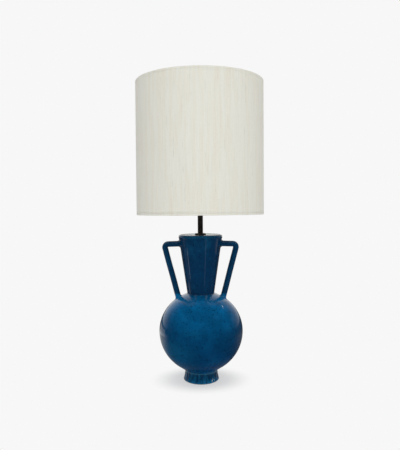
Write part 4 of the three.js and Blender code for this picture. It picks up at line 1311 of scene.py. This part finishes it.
socketForm = {
    "hub": 8.0, "hubHeight": 7.5, "shoulder": 5.0, "wall": 1.0, "hole": 5.3, "capWaist": 0.35,
    # outer and inner radius
    "shell": (16.5, 15.55), "sleeve": (15.4, 14.6),
    "beads": (22.0, 26.0, 44.0), "bodyWaist": 0.5, "bodyBand": 4.2,
    "pocket": 4.0, "pocketWidth": 8.0, "threadPitch": 3.6286, "threadDepth": 0.75, "contactBase": 4.5,
    # start, seat, end, shank and head of each screw
    "setScrew": (5.3, 8.3, 10.3, 1.5, 2.2), "terminalScrew": (6.3, 10.6, 12.2, 1.4, 3.0),
    "slotShare": 0.14, "slotDepth": 0.7, "shaft": 2.0, "shaftRoomStart": 10.0, "shaftRoomEnd": 22.0,
    "bodyBoreStart": 4.7, "bodyBoreEnd": 20.0,
}
switchHeight = middleOf("switch_shaft")
terminalHeight = middleOf("socket_body")
screwHeight = middleOf("socket_set_screw")


def socketCap():
    f = socketForm
    bottom, top, radius = span("socket_cap")
    hubTop = bottom + f["hubHeight"]
    shoulder, low = hubTop + f["shoulder"], hubTop - f["wall"]
    waist, inner = radius - f["capWaist"], radius - f["wall"]
    outline = rounded([
        (f["hole"], bottom, 0.3), (f["hub"], bottom, 0.8), (f["hub"], low - 0.6), (f["hub"] + 1, low, 0.5),
    ])
    outline += curve(10, (f["hub"] + 1.6, low), (waist, low), (waist, shoulder))
    outline += [(waist, shoulder + 1.0), (radius, shoulder + 1.7)]
    outline += [(radius, shoulder + 2.6), (waist, shoulder + 3.3)]
    outline += [(waist, top - 2), (radius, top - 1.2), (radius, top - 0.4), (radius - 0.4, top)]
    outline += [(radius - 0.9, top - 0.2), (inner, top - 0.8)]
    outline += curve(8, (inner, shoulder), (inner, hubTop), (f["hub"], hubTop)) + [(f["hole"], hubTop)]
    return turned("socketCap", outline, ringSides, weighted=True)


def screw(name, start, seat, end, shank, head):
    # a slotted cheese-head screw made upright, its head up
    outline = [(0, start), (shank, start + 0.3), (shank, seat)]
    outline += rounded([(head, seat, 0.15), (head, end, 0.5)])
    piece = turned(name, outline + [(0, end + 0.001)], rodSides, closed=False)
    slot = head * socketForm["slotShare"]
    room = blockRoom((-slot, -head - 1, end - socketForm["slotDepth"]), (slot, head + 1, end + 1))
    return cutAway(piece, room)


def socketShell(name, node, radii, beaded):
    f = socketForm
    bottom, top = span(node)[:2]
    outer, inner = radii
    outline = [(inner, bottom), (outer, bottom)]
    if beaded:
        low, mid = outer - 0.3, outer - 0.1
        for z in (bottom + at for at in f["beads"]):
            outline += [(low, z - 1.4), (low, z - 1.0), (mid, z - 0.7), (outer, z - 0.2)]
            outline += [(outer, z + 0.2), (mid, z + 0.7), (low, z + 1.0)]
        outline += [(low, top - 1.2), (outer, top - 0.6), (mid, top - 0.15)]
        outline += [(outer - 0.45, top), (inner + 0.1, top - 0.1)]
    else:
        outline += rowsUp(outer, bottom + 4, top - 4, 6) + [(outer, top)]
    piece = turned(name, outline + [(inner, top - 0.3)], ringSides)
    room = rodRoom(f["shaft"] + 0.4, f["shaftRoomStart"], f["shaftRoomEnd"], 24)
    return cutAway(piece, towardsFront(room, switchHeight))


def socketBody():
    # moulded block with a pocket for a terminal screw on each side
    f = socketForm
    bottom, top, radius = span("socket_body")
    band, waist = f["bodyBand"], radius - f["bodyWaist"]
    outline = rounded([
        (0, bottom), (radius, bottom, 0.6), (radius, bottom + band, 0.3), (waist, bottom + band + 0.5, 0.3),
        (waist, top - band - 0.5, 0.3), (radius, top - band, 0.3), (radius, top, 0.6), (0, top),
    ])
    piece = turned("switchBody", outline, ringSides, closed=False)
    floor, half = radius - f["pocket"], f["pocketWidth"] / 2
    for side in (-1, 1):
        low, high = sorted((side * floor, side * (radius + 2)))
        room = blockRoom((low, -half, terminalHeight - half), (high, half, terminalHeight + half))
        cutAway(piece, room, weighted=False)
    room = rodRoom(f["shaft"] + 0.3, f["bodyBoreStart"], f["bodyBoreEnd"], 24)
    return cutAway(piece, towardsFront(room, switchHeight))


def terminalScrew(name, side):
    made = towardsFront(screw(name, *socketForm["terminalScrew"]), terminalHeight)
    return turnAlong(made, "Z", 90 * side)


def screwShell():
    # rolled sheet: the thread shows inside and outside alike
    f = socketForm
    bottom, top, radius = span("screw_shell")
    low, high = bottom + 2, top - 1.5
    outer, inner = radius - 0.02, radius - 0.6
    outline = [(f["contactBase"], bottom), (outer - 0.8, bottom), (outer, bottom + 0.8)]
    outline += rowsUp(outer, low, high, 48) + [(outer, top), (inner, top)]
    outline += rowsUp(inner, high, low, 48)
    outline += [(inner, bottom + 1.2), (inner - 0.6, bottom + 0.6), (f["contactBase"], bottom + 0.6)]
    thread = threaded(f["threadDepth"], f["threadPitch"], low, high, inner - 0.1)
    return turned("screwShell", outline, 72, reshape=thread)


def centreContact():
    bottom, top, radius = span("centre_contact")
    edge = rounded([(radius, bottom, 0.2), (radius, bottom + 0.8, 0.3), (radius - 0.8, top, 0.5)])
    outline = [(0, bottom)] + edge + [(1.6, top), (0.8, top - 0.25), (0, top - 0.3)]
    return turned("centreContact", outline, rodSides, closed=False)


for made, node, slot in (
    (socketCap(), "socket_cap", "brass"),
    (towardsFront(screw("setScrew", *socketForm["setScrew"]), screwHeight), "socket_set_screw", "zinc"),
    (socketShell("socketShell", "socket_shell", socketForm["shell"], True), "socket_shell", "brass"),
    (socketShell("sleeve", "socket_sleeve", socketForm["sleeve"], False), "socket_sleeve", "paper"),
    (socketBody(), "socket_body", "black_plastic"),
    (terminalScrew("terminalLeft", -1), "terminal_screw_left", "zinc"),
    (terminalScrew("terminalRight", 1), "terminal_screw_right", "brass"),
    (screwShell(), "screw_shell", "brass"),
    (centreContact(), "centre_contact", "brass"),
):
    finished(made, node, slot)
print("socket made")


switchForm = {
    "start": 23.0, "length": 12.0, "radius": 6.0, "lobes": 6, "lobeDepth": 0.8, "ribs": 48, "ribDepth": 0.12,
    "bore": 2.3, "boreDepth": 6.3, "shaft": 2.0, "notch": 1.75, "notchStart": 20.2, "notchEnd": 21.4,
}


def switchKnob():
    f = switchForm
    start, end, radius = f["start"], f["start"] + f["length"], f["radius"]
    boreEnd = start + f["boreDepth"]
    outline = [(0, boreEnd), (f["bore"], boreEnd), (f["bore"], start + 0.4), (f["bore"] + 0.4, start)]
    outline += rounded([
        (radius - 1.0, start, 0.4), (radius - 0.9, start + 1.6, 0.4), (radius, start + 2.0, 0.3),
    ])
    outline += rowsUp(radius, start + 2.6, end - 1.6, 5)
    outline += rounded([(radius, end - 1.2), (radius, end, 1.2), (radius - 2.4, end)])
    outline += [(2.2, end - 0.1), (1.6, end - 0.45), (0, end - 0.5)]

    def lobed(r, a, z):
        if r < 3.4:
            return r, z
        along = ease(start + 2.2, start + 3, z) * (1 - ease(end - 2, end - 1, z))
        ribs = f["ribDepth"] * (1 + math.cos(f["ribs"] * a)) / 2 * along
        return r - f["lobeDepth"] * (1 - math.cos(f["lobes"] * a)) / 2 - ribs, z
    return towardsFront(turned("switchKnob", outline, 192, closed=False, reshape=lobed), switchHeight)


def switchShaft():
    f = switchForm
    low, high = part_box("switch_shaft")
    start, end = -high.y / mm, -low.y / mm
    outline = rounded([
        (0, start), (f["shaft"], start, 0.3), (f["shaft"], f["notchStart"], 0.1),
        (f["notch"], f["notchStart"] + 0.3, 0.1), (f["notch"], f["notchEnd"] - 0.3, 0.1),
        (f["shaft"], f["notchEnd"], 0.1), (f["shaft"], end, 0.3), (0, end),
    ], 2)
    return towardsFront(turned("switchShaft", outline, 32, closed=False), switchHeight)


finished(switchShaft(), "switch_shaft", "brass")
finished(switchKnob(), "switch_knob", "black_plastic")


bulbForm = {
    "wall": 0.6, "taper": 4.0, "tip": 4.0, "mouth": 8.6, "glass": 30.0, "glassWall": 1.0, "neck": 12.2,
    "neckLength": 8.0, "stem": 3.2, "wire": 0.22, "coil": 0.35, "coils": 24, "coilSteps": 240, "sag": 3.0,
    "support": 1.8,
}


def bulbContact():
    # glass insulator with the solder contact in its middle
    bottom, top, radius = span("bulb_contact")
    tip = (bulbForm["tip"], bottom + 0.75)
    outline = [(0, bottom), (1.6, bottom + 0.05), (2.8, bottom + 0.35)]
    outline += [(3.1, bottom + 0.7), (3.4, bottom + 0.6)]
    outline += curve(8, tip, (6.0, bottom + 1.2), (radius, top)) + [(0, top)]
    return turned("bulbContact", outline, 64, closed=False)


def bulbCap():
    f = bulbForm
    bottom, top, radius = span("bulb_cap")
    low, high = bottom + f["taper"] + 0.6, top - 3.0
    inner, taperFoot = radius - f["wall"], (radius - f["taper"] + 0.6, bottom)
    outline = [(f["mouth"], bottom)]
    outline += curve(6, taperFoot, (radius - 0.6, bottom + 1.2), (radius, bottom + f["taper"]))
    outline += rowsUp(radius, low, high, 46)
    outline += [(radius, top - 1.4), (radius - 0.3, top - 0.9), (radius, top - 0.4)]
    outline += [(radius - 0.1, top), (inner, top)]
    outline += rowsUp(inner, high, low, 46)
    outline += [(inner - 0.6, bottom + f["taper"] - 1), (f["mouth"], bottom + 0.7)]
    thread = threaded(socketForm["threadDepth"], socketForm["threadPitch"], low, high, inner - 0.1)
    return turned("bulbCap", outline, 72, reshape=thread)


def glassOutline(inset):
    f = bulbForm
    bottom, top = span("bulb_glass")[:2]
    radius, centre = f["glass"] - inset, top - f["glass"]
    neck = (f["neck"] - inset, bottom + f["neckLength"])
    low = -math.pi / 5
    start = (radius * math.cos(low), centre + radius * math.sin(low))
    outline = [(neck[0], bottom)] + curve(12, neck, (neck[0], (neck[1] + start[1]) / 2), start)
    return outline + arc((0, centre), radius, radius, low, math.pi / 2, 26)[1:-1] + [(0, centre + radius)]


def bulbGlass():
    return turned("bulbGlass", glassOutline(0) + glassOutline(bulbForm["glassWall"])[::-1], ringSides)


def bulbStem():
    bottom, top, radius = span("bulb_stem")
    neck = bulbForm["stem"]
    outline = [(0, bottom), (radius, bottom)]
    outline += curve(8, (radius, bottom + 1.2), (neck + 0.2, bottom + 3), (neck, bottom + 8))
    outline += [(neck, top - 4), (neck + 0.3, top - 2), (neck + 0.2, top - 0.6), (neck - 0.6, top), (0, top)]
    return turned("glassStem", outline, rodSides, closed=False)


def filament():
    # a coiled wire slung between two supports
    f = bulbForm
    low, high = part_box("bulb_filament")
    bottom, top = low.z / mm + 0.5, high.z / mm - 0.5
    spread, support = high.x / mm - 0.6, f["support"]
    legs = [
        (-support - (spread - support) * k / 8, 0, bottom + (top - 1.5 - bottom) * k / 8) for k in range(8)
    ]
    coil = []
    for k in range(f["coilSteps"] + 1):
        share = k / f["coilSteps"]
        a = 2 * math.pi * f["coils"] * share
        sag = f["sag"] * (1 - (2 * share - 1) ** 2)
        level = top - 1.2 - sag + f["coil"] * math.sin(a)
        coil.append((-spread + 2 * spread * share, f["coil"] * math.cos(a), level))
    path = legs + coil + [(-x, y, z) for x, y, z in reversed(legs)]
    return swept("filament", path, f["wire"], 6)


for made, node, slot in (
    (bulbContact(), "bulb_contact", "black_plastic"),
    (bulbCap(), "bulb_cap", "zinc"),
    (bulbGlass(), "bulb_glass", "opal_glass"),
    (bulbStem(), "bulb_stem", "opal_glass"),
    (filament(), "bulb_filament", "zinc"),
):
    finished(made, node, slot)
print("switch and bulb made")


spiderForm = {
    "bore": 3.4, "arm": 1.6, "armStart": 10.6, "armEnd": 170.1, "flat": 35.0, "rim": 50.0, "sunk": 0.2,
    "lift": 1.4, "weld": 0.2, "tip": 0.35, "turns": {"back": 90, "left": 210, "right": 330},
}


def spiderHub():
    bore = spiderForm["bore"]
    bottom, top, radius = span("spider_hub")
    outline = rounded([
        (bore, bottom, 0.3), (radius, bottom, 0.6), (radius, top, 0.7), (7.6, top, 0.2),
        (7.2, top - 0.3, 0.2), (5.2, top - 0.3, 0.2), (4.9, top, 0.2), (bore, top, 0.4),
    ])
    return turned("spiderHub", outline, ringSides, weighted=True)


def spiderArm(name, node, turn):
    f = spiderForm
    low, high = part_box(node)
    start, end = low.z / mm + f["arm"] - f["sunk"], high.z / mm - f["arm"] + f["lift"]
    hubEnd, rimEnd = (f["armStart"], start), (f["armEnd"], end)
    path = curve(44, hubEnd, (f["armStart"] + f["flat"], start), (f["armEnd"] - f["rim"], end), rimEnd)

    def thickness(share):
        # the welds at both ends swell the wire
        away = min(share, 1 - share) * (f["armEnd"] - f["armStart"])
        return f["arm"] * (1 + f["weld"] * (1 - ease(0.8, 3.2, away)) - f["tip"] * (1 - ease(0, 0.7, away)))
    return turnAlong(swept(name, [(x, 0, z) for x, z in path], thickness, 16), "Z", turn)


finished(spiderHub(), "spider_hub", "bronze")
for direction, turn in spiderForm["turns"].items():
    node = "spider_arm_" + direction
    finished(spiderArm("arm" + direction.capitalize(), node, turn), node, "bronze")


finialForm = {
    "bore": 3.4, "floor": 0.8, "flange": 1.6, "neck": 4.5, "neckHeight": 2.0,
    "knurls": 45, "knurlDepth": 0.25,
}


def finialBase():
    f = finialForm
    bottom, top, radius = span("finial_base")
    flange, roof, waist = bottom + f["flange"], top - f["floor"], radius - 0.6
    outer = rounded([
        (radius, bottom, 0.5), (radius, flange, 0.3), (waist, flange + 0.4, 0.2), (waist, flange + 0.9, 0.2),
        (radius, flange + 1.2, 0.2),
    ])
    outer += rowsUp(radius, bottom + 3.1, top - 1.6, 4)
    outer += rounded([(radius, top - 1.2, 0.2), (radius - 0.5, top - 0.6, 0.3), (radius - 1.6, top, 0.4)])
    outline = [(0, roof), (f["bore"], roof), (f["bore"], bottom + 0.4), (f["bore"] + 0.4, bottom)]

    def knurled(r, a, z):
        held = ease(bottom + 2.7, bottom + 3.1, z) * (1 - ease(top - 1.7, top - 1.3, z)) * (r > radius - 1)
        return r - f["knurlDepth"] * held * (1 + math.cos(f["knurls"] * a)) / 2, z
    return turned("finialBase", outline + outer + [(0, top)], 180, closed=False, reshape=knurled)


def finialKnob():
    f = finialForm
    bottom, top, radius = span("finial_knob")
    neckTop = bottom + f["neckHeight"]
    start = -math.acos(f["neck"] / radius)
    centre = (0, neckTop - (top - neckTop) / 2 * math.sin(start))
    collar, neck = f["neck"] + 0.3, f["neck"] - 0.4
    outline = [(0, bottom)] + rounded([
        (collar, bottom, 0.3), (collar, bottom + 0.7, 0.3), (neck, bottom + 1.1, 0.3), (neck, neckTop - 0.3),
    ])
    outline += arc(centre, radius, top - centre[1], start, math.pi / 2, 28)[:-1] + [(0, top)]
    return turned("finialKnob", outline, ringSides, closed=False)


finished(finialBase(), "finial_base", "bronze")
finished(finialKnob(), "finial_knob", "bronze")
print("spider and finial made")


# places are in metres from here on
cameraSetup = {
    "lens": 39.87, "sensor": 36, "distance": 1.379, "height": 0.4792, "across": -0.0009, "pitch": 2.0,
    "roll": -0.41, "clip": 50,
}
floorLook = {
    "halfWidth": 6.0, "colour": 0.90, "background": 0.9301,
    # up to near the floor keeps that share of its own shading, and beyond far none; both are
    # distances to the sides, and shorter by depth to the front and back
    "near": 0.065, "far": 0.150, "kept": 0.53, "depth": 1.2,
    # it is mirrored brighter behind the lamp, most of all on its left
    "mirrored": 0.05, "behindLeft": 0.45, "behindRight": 0.08, "rightToLeft": (0.10, -0.15),
    "behindAway": (0.95, 0.60), "behindFrom": (-0.05, 0.15),
}
lightSetup = {
    # the mirrored studio is darker in front and at the right and left
    "world": 0.745, "front": 0.03, "frontToBack": (-0.1, 0.9), "sides": [(0.8, 0.45), (-0.8, 0.7)],
    # name, place, target, width and height, watts; the soft lamp doesn't show in gloss
    "soft": ("frontSoft", (0.3, -2.6, 1.1), (0, 0, 0.45), (1.8, 1.4), 20.5),
    # these show only in gloss
    "mirrored": [
        ("rimRight", (1.06, 0.56, 1.29), (0.058, -0.058, 0.215), (0.17, 0.05), 0.42),
        ("cardLeft", (-0.44, 0.12, 0.22), (0, 0, 0.32), (0.28, 0.16), 0.010),
        ("tubeLeft", (-0.45, -0.08, 0.185), (0, 0, 0.30), (0.014, 0.11), 0.014),
        ("cardBehind", (-0.40, 0.25, 0.07), (0, 0, 0.14), (0.32, 0.10), 0.05),
        ("cardRight", (0.45, 0.06, 0.29), (0, 0, 0.37), (0.12, 0.10), 0.010),
        ("glintFoot", (0.25, -0.05, 0.020), (0.03, -0.035, 0.018), (0.02, 0.02), 0.00035),
        ("tubeRight", (0.31, -0.56, 0.10), (0, 0, 0.32), (0.03, 0.24), 0.014),
        ("windowLeft", (-1.47, -1.03, 1.8), (0, 0, 0.2), (0.7, 0.6), 2.4),
        ("windowRight", (1.47, -1.03, 1.8), (0, 0, 0.2), (0.7, 0.6), 4.0),
    ],
    # degrees; a narrow one, so that only the foot shows that lamp
    "spread": 180, "narrow": {"glintFoot": 36},
}


def addCamera():
    f = cameraSetup
    data = bpy.data.cameras.new("photoCamera")
    data.lens, data.sensor_width, data.clip_end = f["lens"], f["sensor"], f["clip"]
    camera = bpy.data.objects.new("photoCamera", data)
    camera.location = (f["across"], -f["distance"], f["height"])
    tilt = Matrix.Rotation(math.radians(90 - f["pitch"]), 4, "X")
    camera.rotation_euler = (tilt @ Matrix.Rotation(math.radians(f["roll"]), 4, "Z")).to_euler()
    scene.collection.objects.link(camera)
    scene.camera = camera


def backgroundRays(tree, mirrored):
    # camera, glossy and transmission rays see the pale background, which is dimmer where it is mirrored
    path = place(tree, "ShaderNodeLightPath").outputs
    seen = maths(tree, "MAXIMUM", path["Is Camera Ray"], path["Is Transmission Ray"])
    strength = times(tree, maths(tree, "MAXIMUM", seen, mirrored), floorLook["background"])
    return maths(tree, "MAXIMUM", seen, path["Is Glossy Ray"]), strength


def addFloor():
    f = floorLook
    half, grey = f["halfWidth"] / mm, f["colour"]
    corners = [(-half, -half, 0), (half, -half, 0), (half, half, 0), (-half, half, 0)]
    floor = meshPiece("floor", corners, [range(4)])
    material, tree, shader = newMaterial("paleFloor", {
        "Base Color": (grey, grey, grey, 1), "Roughness": 0.9, "Specular IOR Level": 0.0,
    })
    where = objectPoint(tree)
    oval = stretched(tree, where, (1, f["depth"], 1))
    away = place(tree, "ShaderNodeVectorMath", {0: oval}, operation="LENGTH").outputs["Value"]
    # close to the lamp the floor keeps part of its own shading, and so the shadow
    far = reach(tree, away, f["near"], f["far"], 1 - f["kept"], 1.0)
    across, back, _ = separated(tree, where)
    behind = reach(tree, across, *f["rightToLeft"], f["behindRight"], f["behindLeft"])
    behind = times(tree, reach(tree, away, *f["behindAway"]), behind)
    behind = times(tree, reach(tree, back, *f["behindFrom"]), behind)
    rays, strength = backgroundRays(tree, plus(tree, behind, f["mirrored"]))
    glow = place(tree, "ShaderNodeEmission", {"Strength": strength}).outputs[0]
    mixed = place(tree, "ShaderNodeMixShader", {0: times(tree, far, rays), 1: shader.outputs[0], 2: glow})
    feed(tree, tree.nodes["Material Output"].inputs, {"Surface": mixed.outputs[0]})
    floor.data.materials.append(material)


def addWorld():
    f = lightSetup
    world = bpy.data.worlds.new("studio")
    scene.world = world
    world.use_nodes = True
    tree = world.node_tree
    soft = tree.nodes["Background"]
    soft.inputs["Color"].default_value = (1, 1, 1, 1)
    soft.inputs["Strength"].default_value = f["world"]
    across, back, _ = separated(tree, place(tree, "ShaderNodeTexCoord").outputs["Generated"])
    ahead = reach(tree, back, *f["frontToBack"], f["front"], 1.0)
    aside = [reach(tree, across, 0.0, end, 1.0, least) for end, least in f["sides"]]
    rays, strength = backgroundRays(tree, times(tree, ahead, maths(tree, "MINIMUM", *aside)))
    pale = place(tree, "ShaderNodeBackground", {"Color": (1, 1, 1, 1), "Strength": strength}).outputs[0]
    mixed = place(tree, "ShaderNodeMixShader", {0: rays, 1: soft.outputs[0], 2: pale})
    feed(tree, tree.nodes["World Output"].inputs, {"Surface": mixed.outputs[0]})


def addLight(name, location, target, size, power, mirrorOnly=True):
    data = bpy.data.lights.new(name, "AREA")
    data.shape = "RECTANGLE"
    data.size, data.size_y = size
    data.energy = power
    data.spread = math.radians(lightSetup["narrow"].get(name, lightSetup["spread"]))
    lamp = bpy.data.objects.new(name, data)
    lamp.location = location
    lamp.rotation_euler = (Vector(target) - Vector(location)).to_track_quat("-Z", "Y").to_euler()
    lamp.visible_camera = False
    lamp.visible_glossy = mirrorOnly
    lamp.visible_diffuse = not mirrorOnly
    scene.collection.objects.link(lamp)


addCamera()
addFloor()
addWorld()
addLight(*lightSetup["soft"], mirrorOnly=False)
for lampValues in lightSetup["mirrored"]:
    addLight(*lampValues)
scene.view_settings.view_transform = "Standard"
print("camera, floor and lights placed")
